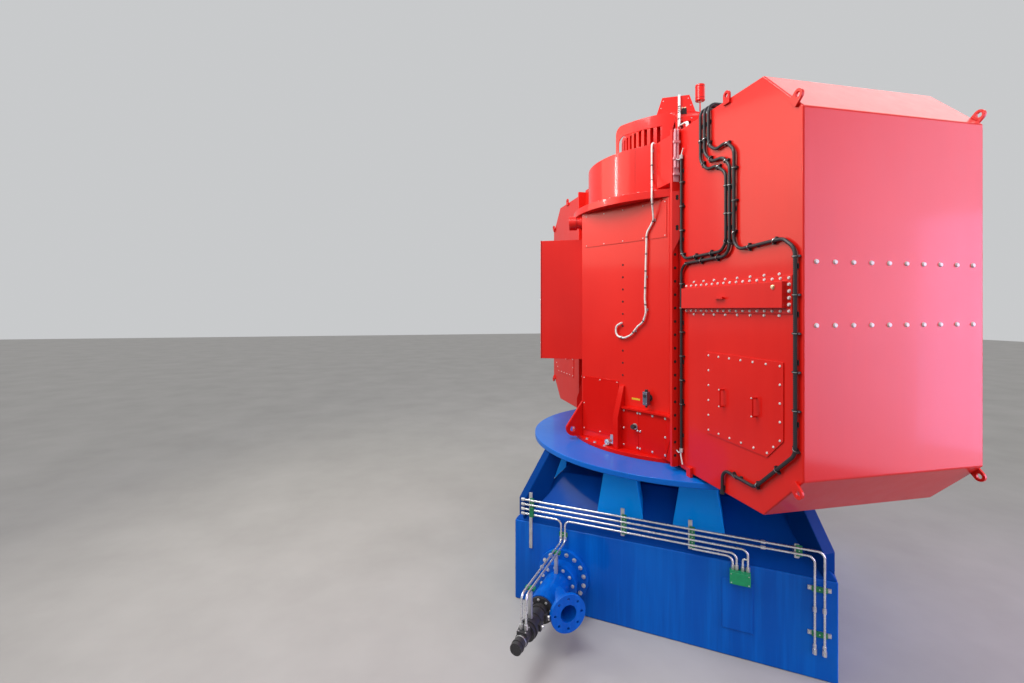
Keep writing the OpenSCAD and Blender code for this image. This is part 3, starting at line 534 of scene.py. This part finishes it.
def conduit_path(route):
    """From the roof of the air box over its edge, and along a route on its wall."""
    y = -route[0][0] / 1000
    arch = [(-0.7, y, BOX_TOP), (-0.7, y, CONDUIT_ARCH), (CONDUIT_X, y, CONDUIT_ARCH)]
    return rounded(arch + [(CONDUIT_X, -out / 1000, z / 1000) for out, z in route], CONDUIT_BEND)


def make_end_wires():
    """Short wires out of the upper end of the first conduit, and out of the foot of the second."""
    x, y = CONDUIT_X, CONDUIT_END_Y
    wires = Batch()
    for bend, r, *route in (
        (0.02, 0.006, (x, y, 4.985), (x, y - 0.004, 5.02), (x, y - 0.034, 5.07)),
        (0.015, 0.006, (-0.9, -1.4, 5), (-0.895, -1.41, 4.965), (x - 0.005, y + 0.011, 4.97), (x, y, 5.01)),
        (0.03, 0.007, (x, y, 2.01), (x - 0.004, y + 0.004, 1.95), (x, y - 0.02, 1.86)),
        (0.02, 0.006, (x, y, 2.01), (x - 0.012, y + 0.02, 1.96), (x - 0.03, y + 0.04, 1.99)),
    ):
        wires.tube(rounded(route, bend), r, 8)
    wires.done("conduit_end_wires", "hose_white")


def make_conduits():
    """Ribbed conduits with clips on the wall; the third one has a wider pitch and a black end."""
    ribbed, clips, bands = Batch(), Batch(), Batch()
    for route in CONDUIT_ROUTES:
        third = route is CONDUIT_ROUTES[2]
        path = conduit_path(route)
        ribbed.tube(even_steps(path, RIB_PITCH), CONDUIT_R, 10, waist=0.87)
        spaced = even_steps(path, 0.28 if third else 0.245)
        for point, ahead in zip(spaced, spaced[1:]):
            if point.x < -WALL_X and point.z < BOX_TOP - 0.1:
                along = (ahead - point).normalized()
                turn = Matrix.Rotation(math.atan2(along.z, along.y) - math.pi / 2, 4, "X")
                foot = Matrix.Translation((-WALL_X, point.y, point.z)) @ turn
                clips.ring(point, CONDUIT_R + 0.004, 0.014, 12, along)
                clips.bar(foot, (-0.024, -0.032, -0.007), (0, 0.032, 0.007))
                bands.ring(point, CONDUIT_R + 0.0045, 0.003, 12, along)
        fitting = clips if third else bands
        fitting.ring(path[-1], CONDUIT_R + 0.004, 0.04, 6, path[-1] - path[-2])
    make_end_wires()
    ribbed.done("conduits_ribbed", "conduit_black", "cable_conduits")
    clips.done("conduit_clips", "conduit_black")
    bands.done("conduit_screws", "bolt_zinc", slot="bracket_steel")


# Sensor hose, from the crown guard to the housing's left side

HOSE_R = 0.011
HOSE_DRUM_TURN = 45.5
HOSE_SHELF_TURN = 43
# Distance to the right of the side's middle and height of each point, in millimetres
HOSE_ON_SIDE = [
    (484, 4425), (392, 4290), (368, 3560), (383, 3400), (345, 3290), (270, 3240), (180, 3140), (80, 3096),
    (-40, 3118), (-46, 3230), (27, 3272),
]


def make_hose():
    """A thin white hose with black ties, which goes into the housing at its end."""
    over_drum, drum_r, shelf_r = RING_TOP + 0.023, RING_R + 0.019, SHELF_R + 0.019
    route = [
        at_turn(HOSE_DRUM_TURN, GUARD_R - 0.06, over_drum),
        at_turn(HOSE_DRUM_TURN, drum_r, over_drum),
        at_turn(HOSE_DRUM_TURN, drum_r, SHELF_TOP + 0.18),
        at_turn(HOSE_SHELF_TURN, shelf_r, SHELF_TOP + 0.02),
        at_turn(HOSE_SHELF_TURN, shelf_r, HOUSING_TOP - 0.02),
    ]
    route += [SIDE @ Vector((x / 1000, -0.025, z / 1000)) for x, z in HOSE_ON_SIDE]
    end_x, end_z = HOSE_ON_SIDE[-1]
    route.append(SIDE @ Vector((end_x / 1000, 0, end_z / 1000)))
    path = rounded(route, 0.12)
    hose, ties = Batch(), Batch()
    hose.tube(path, HOSE_R)
    spaced = even_steps(path, 0.19)
    for point, ahead in zip(spaced[2:], spaced[3:]):
        ties.ring(point, HOSE_R + 0.0025, 0.012, 12, ahead - point)
    hose.done("hose_round", "hose_white", "sensor_hose")
    ties.done("hose_ties", "conduit_black")


# Crown cable, from the air box's roof into the hood

CABLE_TURN = 31.6
CABLE_OFF = 0.026
CABLE_R = 0.018
CABLE_START = (-0.79, -1.44)


def make_crown_cable():
    """Three strands side by side, bound by black ties."""
    arch, on_drum, on_lip = BOX_TOP + 0.07, RING_TOP + CABLE_OFF, LIP_TOP + CABLE_OFF
    over_crown = [
        (1.526, arch),
        (RING_R + 0.09, on_drum),
        (LOUVRE_R + CABLE_OFF, on_drum),
        (LOUVRE_R + CABLE_OFF, LOUVRE_TOP + 0.016),
        (0.369, on_lip),
        (0.193, on_lip),
        (0.138, LIP_TOP + 0.3),
        (0.069, LIP_TOP + 0.3 + CABLE_R + 0.001),
    ]
    route = [(*CABLE_START, BOX_TOP), (*CABLE_START, arch)]
    path = rounded(route + [at_turn(CABLE_TURN, r, z) for r, z in over_crown], 0.045)
    strands, ties = Batch(), Batch()
    for shift in circle(0.0095, 3, 0.5):
        strands.tube([p + Vector((shift.x, shift.y, 0)) for p in path], 0.0085, 10)
    spaced = even_steps(path, 0.16)
    for point, ahead in zip(spaced[1:], spaced[2:]):
        ties.ring(point, CABLE_R + 0.001, 0.012, 12, ahead - point)
    strands.done("crown_cable_strands", "hose_white", "crown_cable")
    ties.done("crown_cable_ties", "conduit_black")


# Oil tubes on the casing's front face, in the face's own frame

OIL_Y = -0.03
OIL_ROWS = [1.04, 1.094, 1.148, 1.202]
OIL_LEFT = -1.6
INLET_Z = 0.88
PORT_Y = -1.165
LEFT_PORT = -1.118
RIGHT_PORT = -1.072


def make_oil_tubes():
    """Bent steel tubes with their nuts, and the clamp at their left end.

    Two risers come up from the servomotor's ports, and the inlets are on the junction box.
    """
    y, left = OIL_Y, OIL_LEFT
    row_1, row_2, row_3, row_4 = OIL_ROWS
    tubes, nuts, clamp = Batch(), Batch(), Batch()

    def tube(*points):
        tubes.tube(rounded([CASING @ Vector(p) for p in points], 0.06), 0.011)

    def riser(x, *rest):
        tube((x, PORT_Y, 0.49), (x, PORT_Y, 0.8), (x, y, 0.8), (x, y, row_1), *rest)

    def nut(x, y, z, r, length, along=UP):
        nuts.ring(CASING @ Vector((x, y, z)), r, length, 6, along)

    for drop, row in ((1.423, row_4), (1.345, row_3)):
        tube((left, y, row), (drop, y, row), (drop, y, 0.25))
        for low, r, tall in ((0.25, 0.019, 0.05), (0.31, 0.016, 0.03), (0.64, 0.017, 0.045)):
            nut(drop, y, low + tall / 2, r, tall)
        for x in (left + 0.015, 0.92):
            nut(x, y, row, 0.018, 0.04, ALONG_CASING)
    riser(LEFT_PORT, (left, y, row_1))
    riser(RIGHT_PORT, (0.69, y, row_1), (0.69, y, INLET_Z))
    tube((left, y, row_2), (0.79, y, row_2), (0.79, y, INLET_Z))
    tube((0.28, y, row_1 - 0.036), (0.655, y, row_1 - 0.036), (0.655, y, INLET_Z))
    tube((0.744, y, INLET_Z), (0.744, y, 1.0), (0.79, y, 1.0))
    for x, inlet in ((LEFT_PORT, 0.79), (RIGHT_PORT, 0.69)):
        nut(x, PORT_Y, 0.515, 0.019, 0.045)
        nut(inlet, y, INLET_Z + 0.025, 0.019, 0.045)
        nut(x, y, 0.84, 0.018, 0.04)
    for inlet in (0.655, 0.744):
        nut(inlet, y, INLET_Z + 0.02, 0.017, 0.04)
    for row in (row_1, row_2):
        nut(left + 0.015, y, row, 0.018, 0.04, ALONG_CASING)
    clamp.bar(CASING, (-1.501, y - 0.019, row_1 - 0.024), (-1.451, y + 0.011, row_2 + 0.024))
    tubes.done("oil_tubes_round", "tube_steel", "oil_tubes")
    nuts.done("tube_nuts", "bolt_zinc", slot="bracket_steel", smooth=25)
    clamp.done("left_tube_clamp", "clamp_green")


make_camera()
make_conduits()
make_hose()
make_crown_cable()
make_oil_tubes()


# Plates, boxes and drums

SLOT_OF = {s["node"]: s["material_slot"] for s in frame["record"]["subparts"]}
EDGE_WIDTH = 0.004
EDGE_WIDTHS = {
    "turbine_casing": 0.014,
    "casing_roof": 0.014,
    "front_air_box": 0.012,
    "rear_air_box": 0.012,
    "foundation_plate": 0.008,
    "support_legs": 0.012,
    "corner_braces": 0.01,
    "access_cover": 0.008,
    "hatch_handles": 0.003,
    "hatch_plates": 0.002,
    "upper_covers": 0.002,
    "side_panels": 0.002,
    "louvre_drum": 0.003,
    "cable_saddles": 0.001,
    "sight_gauge": 0.006,
    "drain_valve": 0.003,
}
OTHER_FINISH = {
    # The support legs take a brighter blue as painted light
    "support_legs": "leg_blue",
    # The roof and neck take a darker blue as painted shade
    "casing_roof": "roof_blue",
    "casing_neck": "roof_blue",
    # The corner braces take a very dark blue as painted shade
    "corner_braces": "brace_blue",
    "junction_box": "box_green",
    "sensor_tubes": "tube_pink",
    "base_flange": "satin_red",
    "base_lugs": "satin_red",
    "gusset_posts": "satin_red",
    "lower_covers": "satin_red",
    "side_panels": "satin_red",
    "sight_gauge": "gauge_steel",
}
MADE_ABOVE = ("cable_conduits", "sensor_hose", "crown_cable", "oil_tubes")

for node_name, slot_name in SLOT_OF.items():
    if node_name not in MADE_ABOVE:
        dress_node(node_name, OTHER_FINISH.get(node_name, slot_name), EDGE_WIDTHS.get(node_name, EDGE_WIDTH))


# Bolts, screws and holes


def hatch_places():
    """Screw places round a hatch plate, whose lower outer corner is cut off."""
    near, far, low, high = 1.872, 2.753, 2.31, 3.005
    places = line((near, low), (near, high), 6) + line((near, high), (far, high), 7)[1:]
    places += line((near, low), (2.62, low), 6)[1:] + line((far, 2.44), (far, high), 5)[:-1]
    return places + [Vector((2.687, 2.375))]


def dress_duct_cover(wall, screws, grips, plugs):
    """Screws on the rim of a duct cover and beside it, its grip and its brass plug."""
    for on_rim, on_wall in ((3.668, 3.703), (3.422, 3.387)):
        screws.screws(wall, line((1.515, on_rim), (2.845, on_rim), 17), 0.013, 0.01, 0.009)
        screws.screws(wall, line((1.63, on_wall), (2.74, on_wall), 8), 0.013, 0, 0.009)
    screws.screws(wall, line((2.848, 3.47), (2.848, 3.62), 4), 0.015, 0.01, 0.012)
    plugs.bolts(wall, [(2.735, 3.605)], 0.014, 0.055)
    grips.bar(wall, (2.05, -0.085, 3.527), (2.175, -0.067, 3.543))
    for x in (2.07, 2.155):
        grips.rod(wall, (x, -0.055, 3.535), 0.011, 0.014, 8)


def dress_flange_strip(flip, holes, gussets):
    """The column of holes down a flange strip, and the thin gusset that ties it to the shelf."""
    for x, z in line((-0.9, 1.93), (-0.9, 4.0), 16):
        holes.hole(flip @ STRIP, x, z)
    gussets.slab(flip @ GUSSET, [(0, 4.01), (0.092, 4.2), (0.092, 4.65), (0, 4.65)], 0.004)
    for z in (4.585, 4.274):
        for step in (-0.012, 0.012):
            holes.hole(flip @ GUSSET, 0.05, z + step)


def dress_air_boxes():
    """Stay bolts of the end faces, and what is fixed to the side walls and flange strips."""
    stays, screws, holes, grips, plugs = Batch(), Batch(), Batch(), Batch(), Batch()
    gussets, straps = Batch(), Batch()
    for flip in ENDS:
        for z in (3.779, 3.319):
            stays.screws(flip @ FRONT, line((-0.73, z), (0.73, z), 10), 0.019, high=0.011, sides=16)
    for flip in FOUR:
        wall = flip @ LEFT
        screws.screws(wall, hatch_places(), 0.0105, 0.008)
        dress_duct_cover(wall, screws, grips, plugs)
        for x in (2.092, 2.504):
            screws.screws(wall, [(x, 2.573), (x, 2.721)], 0.008, 0.056, 0.005)
        dress_flange_strip(flip, holes, gussets)
    for z in (5.157, 4.986, 4.826):
        straps.bar(STRIP, (-0.925, -0.025, z - 0.011), (-0.855, 0, z + 0.011))
    straps.bar(STRIP, (-0.92, -0.004, 4.75), (-0.86, 0, 5.26))
    stays.done("stay_bolts", "hose_white")
    screws.done("air_box_screws", "cap_white", slot="hose_white")
    grips.done("duct_cover_grips", "machine_red")
    plugs.done("duct_cover_plugs", "brass", slot="bracket_steel")
    holes.done("flange_holes", "shadow", slot="machine_red")
    gussets.done("flange_gussets", "machine_red")
    straps.done("sensor_tube_straps", "tube_pink", slot="hose_white")


def dress_housing():
    """Screws of the cover sheets and panels, bolts of the lower covers, and the stub pipe's collar."""
    screws, holes, bolts, collar = Batch(), Batch(), Batch(), Batch()
    upper = round_plate((SIDE_LEFT + 0.06, 4.22), (SIDE_RIGHT - 0.03, 4.63), 0.022, 0.29)
    panel = round_plate((SIDE_LEFT + 0.02, 1.9), (-0.02, 2.585), 0.022, 0.27)
    column = line((0.039, 3.959), (0.039, 2.658), 10)
    top, middle, foot = 2.255, 2.055, 1.86
    lower = [(x, z) for x in (0.093, 0.287, 0.322, 0.648) for z in (top, middle, foot)]
    lower += [(0.485, top), (0.485, foot)]
    for flip in FOUR:
        side = flip @ SIDE
        if flip is not FLIP_Y:
            screws.screws(side, upper, 0.0075, 0.006)
            holes.screws(side, column, 0.0125, 0, 0.005, 10)
        screws.screws(side, panel, 0.0075, 0.006)
        bolts.bolts(side, lower, 0.0095, 0.05)
        end = flip @ facing(90, FRONT_HALF + 0.05)
        bolts.bolts(end, [(1.305, z) for z in (top, middle, foot)], 0.0095)
    for flip in HALVES:
        for turn in (68, 75, 82, 98, 105, 112):
            bolts.ring(flip @ at_turn(turn, 1.411, BASE_TOP + 0.002), 0.02, 0.004, 14)
            bolts.ring(flip @ at_turn(turn, 1.411, BASE_TOP + 0.01), 0.016, 0.012, 6)
    collar.rod(REAR_SIDE, (SIDE_LEFT + 0.095, -0.08, HOUSING_TOP - 0.095), 0.09, 0.09, 40)
    collar.done("stub_pipe_collar", "machine_red")
    screws.done("cover_screws", "cap_white", slot="hose_white")
    holes.done("side_screws", "shadow", slot="machine_red")
    bolts.done("lower_cover_bolts", "bolt_zinc", slot="bracket_steel")


def dress_terminal_box():
    """Screws round the lid, and the dark seams down its two sides."""
    middle = (SIDE_LEFT + SIDE_RIGHT) / 2
    screws, seams = Batch(), Batch()
    lid = round_plate((middle - 0.52, 2.78), (middle + 0.52, 4.35), 0.025, 0.19)
    screws.screws(REAR_SIDE, lid, 0.0095, 0.564)
    for x in (middle - 0.5235, middle + 0.5225):
        seams.bar(REAR_SIDE, (x, -0.5535, 2.777), (x + 0.001, -0.5505, 4.353))
    screws.done("terminal_box_screws", "bolt_zinc", slot="bracket_steel")
    seams.done("terminal_box_seams", "shadow", slot="machine_red")


def dress_instruments():
    """Knob, sight gauge, drain valve and bare label on the left front side."""
    black, bright, label = Batch(), Batch(), Batch()
    knob_x, knob_z = 0.256, 2.1
    bright.rod(SIDE, (knob_x, -0.05, knob_z), 0.034, 0.012, 20)
    black.rod(SIDE, (knob_x, -0.062, knob_z), 0.022, 0.03, 16)
    black.rod(SIDE, (knob_x, -0.092, knob_z), 0.03, 0.016, 20, 0.026)
    gauge_x = 0.413
    black.rod(SIDE, (gauge_x, -0.086, 2.47), 0.017, 0.012, 16)
    black.ring(SIDE @ Vector((gauge_x, -0.06, 2.526)), 0.018, 0.026, 12)
    black.ring(SIDE @ Vector((gauge_x, -0.06, 2.356)), 0.013, 0.03, 12)
    black.rod(SIDE, (gauge_x, 0, 2.442), 0.04, 0.01, 16)
    corners = [(gauge_x + step, z) for z in (2.39, 2.495) for step in (-0.02, 0.02)]
    bright.screws(SIDE, corners, 0.005, 0.09)
    valve_x, valve_z = -0.095, 1.857
    bright.rod(SIDE, (valve_x, -0.06, valve_z), 0.03, 0.02, 6)
    bright.rod(SIDE, (valve_x, -0.13, valve_z), 0.022, 0.012, 12)
    bright.bar(SIDE, (valve_x + 0.04, -0.114, valve_z + 0.043), (valve_x + 0.08, -0.09, valve_z + 0.098))
    label.bar(SIDE, (0.17, -0.0012, 2.39), (0.285, 0, 2.412))
    black.done("knobs", "servo_black")
    bright.done("instrument_fittings", "bolt_zinc", slot="bracket_steel")
    label.done("label_bare", "label_yellow", slot="machine_red")


LOUVRES = 54
HOOD = facing(29.5) @ Matrix.Translation((-0.05, 0, 0))
BREATHER = Matrix.Translation((0.272, -0.062, LIP_TOP))
CABLE_END = facing(25.6)


def dress_drums(screws, seams, slot_shadows):
    """Nuts of the shelf, guards and lip, seams of the drum, the louvred drum's screws, and painted shadows in
    its slots.
    """
    for flip in FOUR:
        for turn in (55.4, 68.0):
            plane = flip @ facing(turn, RING_R)
            seams.bar(plane, (-0.0015, -0.0006, SHELF_TOP), (0.0015, 0.003, RING_TOP - 0.004))
        for turn in range(42, 90, 8):
            screws.ring(flip @ at_turn(turn, SHELF_R - 0.045, SHELF_TOP + 0.006), 0.014, 0.012, 6)
        for turn in (40.5, 67.5):
            screws.ring(flip @ at_turn(turn, GUARD_R - 0.05, RING_TOP + 0.008), 0.013, 0.016, 6)
    for turn in range(0, 360, 15):
        rims = [(0, RING_TOP + 0.03), (0, LOUVRE_TOP - 0.028)]
        screws.screws(facing(turn + 6, LOUVRE_R), rims, 0.008)
        screws.ring(at_turn(turn, 0.325, LIP_TOP + 0.004), 0.009, 0.008, 8)
    # Painted shadows: a dark bar behind each slot between the blades, where the drum's inside lies in shade
    for i in range(LOUVRES):
        blade = Matrix.Rotation(2 * math.pi * (i + 0.5) / LOUVRES, 4, "Z")
        low, high = RING_TOP + 0.075, LOUVRE_TOP - 0.065
        slot_shadows.bar(blade, (LOUVRE_R - 0.088, -0.004, low), (LOUVRE_R - 0.084, 0.004, high))


def dress_hood(screws, dark, bright):
    """Screws down the hood's tapered front, the breather's rings, and the cable's connector."""
    for side in (-1, 1):
        for z in (0.05, 0.15, 0.25):
            wide, deep = 0.232 - 0.3 * z, 0.165 - 0.1833 * z
            screws.screws(HOOD, [(side * wide, LIP_TOP + z)], 0.008, deep)
    for z, r, tall in ((0.008, 0.034, 0.016), (0.115, 0.027, 0.018), (0.268, 0.02, 0.014)):
        bright.ring(BREATHER @ Vector((0, 0, z)), r, tall, 12)
    for z in (0.31, 0.46):
        dark.ring(BREATHER @ Vector((0, 0, z)), 0.0626, 0.004, 32)
    dark.bar(CABLE_END, (-0.03, -0.55, 5.83), (0.03, -0.47, 5.93))
    for x in (-0.016, 0.016):
        bright.ring(CABLE_END @ Vector((x, -0.51, 5.94)), 0.01, 0.03, 8)


def dress_crown():
    """Small parts of the shelf, the drums, the hood and the breather."""
    seams, screws, dark, bright = Batch(), Batch(), Batch(), Batch()
    dress_drums(screws, seams, dark)
    dress_hood(screws, dark, bright)
    seams.done("drum_seams", "shadow", slot="machine_red")
    screws.done("crown_screws", "bolt_zinc", slot="bracket_steel")
    # The louvre slots' painted shadows, with the breather's dark rings and the cable's connector
    dark.done("louvre_shadows_and_dark_parts", "shadow", slot="machine_red")
    bright.done("breather_fittings", "brass", slot="tube_steel")


def dress_injector():
    """Flange bolts, and the servomotor's plates, collars and ports."""
    bolts, black, silver = Batch(), Batch(), Batch()
    bolts.bolts(INJECTOR, circle(0.25, 16, 0.2), 0.019, 0.05)
    bolts.bolts(INJECTOR, circle(0.178, 12, 0.13), 0.015, 0.235)
    bolts.bolts(INJECTOR, circle(0.108, 8, 0.2), 0.011, 0.74)
    for out, r, long in ((0.775, 0.088, 0.03), (0.9, 0.086, 0.022), (1.02, 0.09, 0.04), (1.085, 0.084, 0.02)):
        black.rod(INJECTOR, (0, -out, 0), r, long, 40)
    for out, r, long in ((1.2, 0.062, 0.03), (1.29, 0.06, 0.018)):
        black.rod(INJECTOR, (0, -out, 0), r, long, 32)
    silver.rod(INJECTOR, (0, -1.235, 0), 0.0585, 0.012, 32)
    silver.bolts(INJECTOR, circle(0.066, 6), 0.006, 1.06)
    black.bolts(INJECTOR, circle(0.036, 6), 0.006, 1.35)
    for x in (-0.035, 0.035):
        for y in (-1.125, -1.205):
            silver.ring(INJECTOR @ Vector((x, y, 0.073)), 0.007, 0.008, 6)
    for y in (-0.8, -0.96):
        black.bar(INJECTOR, (0.05, y - 0.035, -0.03), (0.1, y + 0.035, 0.03))
        silver.rod(INJECTOR @ QUARTER, (y, -0.1, 0), 0.014, 0.02, 6)
    bolts.done("flange_bolts", "bolt_zinc", slot="bracket_steel")
    black.done("servomotor_plates", "servo_black")
    silver.done("servomotor_fittings", "bolt_zinc", slot="bracket_steel")


def dress_casing():
    """Screws of the junction box and of the tubes' clamps and brackets, and the box's lid seam."""
    screws, seam = Batch(), Batch()
    box_screws = round_plate((0.6275, 0.765), (0.8125, 0.88), 0.015, 0.3)
    screws.screws(CASING, box_screws, 0.006, 0.095)
    seam.bar(CASING, (0.627, -0.0776, 0.7645), (0.813, -0.076, 0.8805))
    upper = (1.121, 1.175)
    for x, rows in ((-1.476, upper), (-0.407, (1.067, *upper)), (0.28, (1.067, *upper)), (1.221, upper)):
        screws.screws(CASING, [(x, z) for z in rows], 0.006, 0.03, 0.006, 6)
    for z in (0.85, 0.435):
        screws.screws(CASING, [(1.384, z)], 0.007, 0.03, 0.006, 6)
        screws.screws(CASING, [(1.305, z), (1.463, z)], 0.008, 0.019, 0.006, 6)
    screws.screws(CASING, [(-1.095, 0.88)], 0.007, 0.03, 0.006, 6)
    screws.done("casing_screws", "bolt_zinc", slot="bracket_steel")
    seam.done("junction_box_seam", "shadow", slot="clamp_green")


dress_air_boxes()
dress_housing()
dress_terminal_box()
dress_instruments()
dress_crown()
dress_injector()
dress_casing()


# Light and floor

SEEN_BY = ("Camera", "Glossy", "Transmission")
BACKDROP = (0.58, 0.59, 0.6)
HALL = (0.03, 0.03, 0.033)
# The way to each soft glow round the machine, how narrow it is, and its colour
GLOWS = [
    ((0, 0, 1), 2.2, (1.2, 1.18, 1.15)),
    ((-0.85, -0.35, 0.4), 4.0, (0.55, 0.53, 0.51)),
    ((-0.2, -0.95, 0.3), 4.0, (1.15, 1.08, 1.12)),
]


def soft_light(name, at, look, size, power, colour=(1, 1, 1), spread=180):
    """A rectangular lamp at a place, turned to the point that it looks at."""
    data = bpy.data.lights.new(name, "AREA")
    data.spread = math.radians(spread)
    data.shape = "RECTANGLE"
    data.size, data.size_y = size
    data.energy = power
    data.color = colour
    light = bpy.data.objects.new(name, data)
    light.location = at
    light.rotation_euler = (Vector(look) - Vector(at)).to_track_quat("-Z", "Y").to_euler()
    bpy.context.scene.collection.objects.link(light)


def seen_rays(tree):
    """1 for what the camera, glass or a glossy surface sees, 0 for the light that falls on things."""
    rays = [add_node(tree, "ShaderNodeLightPath", out=f"Is {kind} Ray") for kind in SEEN_BY]
    return (rays[0] + rays[1] + rays[2]).clamp()


def make_floor():
    """A wide pale floor, which throws little of its light back on the machine."""
    bm = bmesh.new()
    bmesh.ops.create_grid(bm, x_segments=1, y_segments=1, size=60)
    mesh = bpy.data.meshes.new("floor")
    bm.to_mesh(mesh)
    bm.free()
    f = Finish("floor")
    cloud = f.noise(0.7, 4.0, 0.6)
    pale = f.ramp(cloud, (0.3, (0.33, 0.33, 0.325)), (0.7, (0.38, 0.38, 0.375)))
    colour = f.mix(seen_rays(f.tree), rgb(0.06, 0.06, 0.06), pale)
    mesh.materials.append(f.done(base_color=colour, roughness=0.85))
    floor = bpy.data.objects.new("floor", mesh)
    bpy.context.scene.collection.objects.link(floor)


def make_world():
    """A pale backdrop for the eye, and the soft light of a hall for the machine."""
    world = bpy.data.worlds.new("hall")
    bpy.context.scene.world = world
    world.use_nodes = True
    tree = world.node_tree
    tree.nodes.clear()
    way = add_node(tree, "ShaderNodeTexCoord", out="Generated")
    hall = rgb(*HALL)
    for towards, narrow, colour in GLOWS:
        ways = {0: way, 1: Vector(towards).normalized()}
        aim = add_node(tree, "ShaderNodeVectorMath", {"operation": "DOT_PRODUCT"}, ways, out="Value")
        glow = mix_colours(tree, aim.clamp().power(narrow), rgb(0, 0, 0), rgb(*colour))
        hall = mix_colours(tree, 1.0, glow, hall, "ADD")
    colour = mix_colours(tree, seen_rays(tree), hall, rgb(*BACKDROP))
    shine = add_node(tree, "ShaderNodeBackground", {}, {"Color": colour, "Strength": 1.0})
    add_node(tree, "ShaderNodeOutputWorld", {}, {"Surface": shine})


make_floor()
make_world()
soft_light("right_windows", (6, -8, 4.0), (0, -3, 3.8), (6, 7.9), 310, (0.88, 0.66, 0.95), 115)
soft_light("right_blue_window", (7.3, -6.7, 3.0), (0.6, -3, 3.0), (2.8, 4.6), 130, (0.5, 0.42, 1.0))
soft_light("right_lamps", (5.5, -0.5, 9.5), (0, -2, 4.5), (5, 5), 130)
soft_light("lamps_above", (-4.5, -1.5, 8.5), (-0.8, -2, 4), (3, 3), 330)
soft_light("left_windows", (-8, 3, 6.7), (-0.8, 0.3, 4.7), (7, 4.2), 200, (1.0, 0.9, 0.7))
soft_light("left_lamp", (-7.9, 2.25, 6.9), (-1.1, -0.4, 5.0), (0.35, 1.2), 100)

bpy.context.scene.view_settings.view_transform = "Standard"
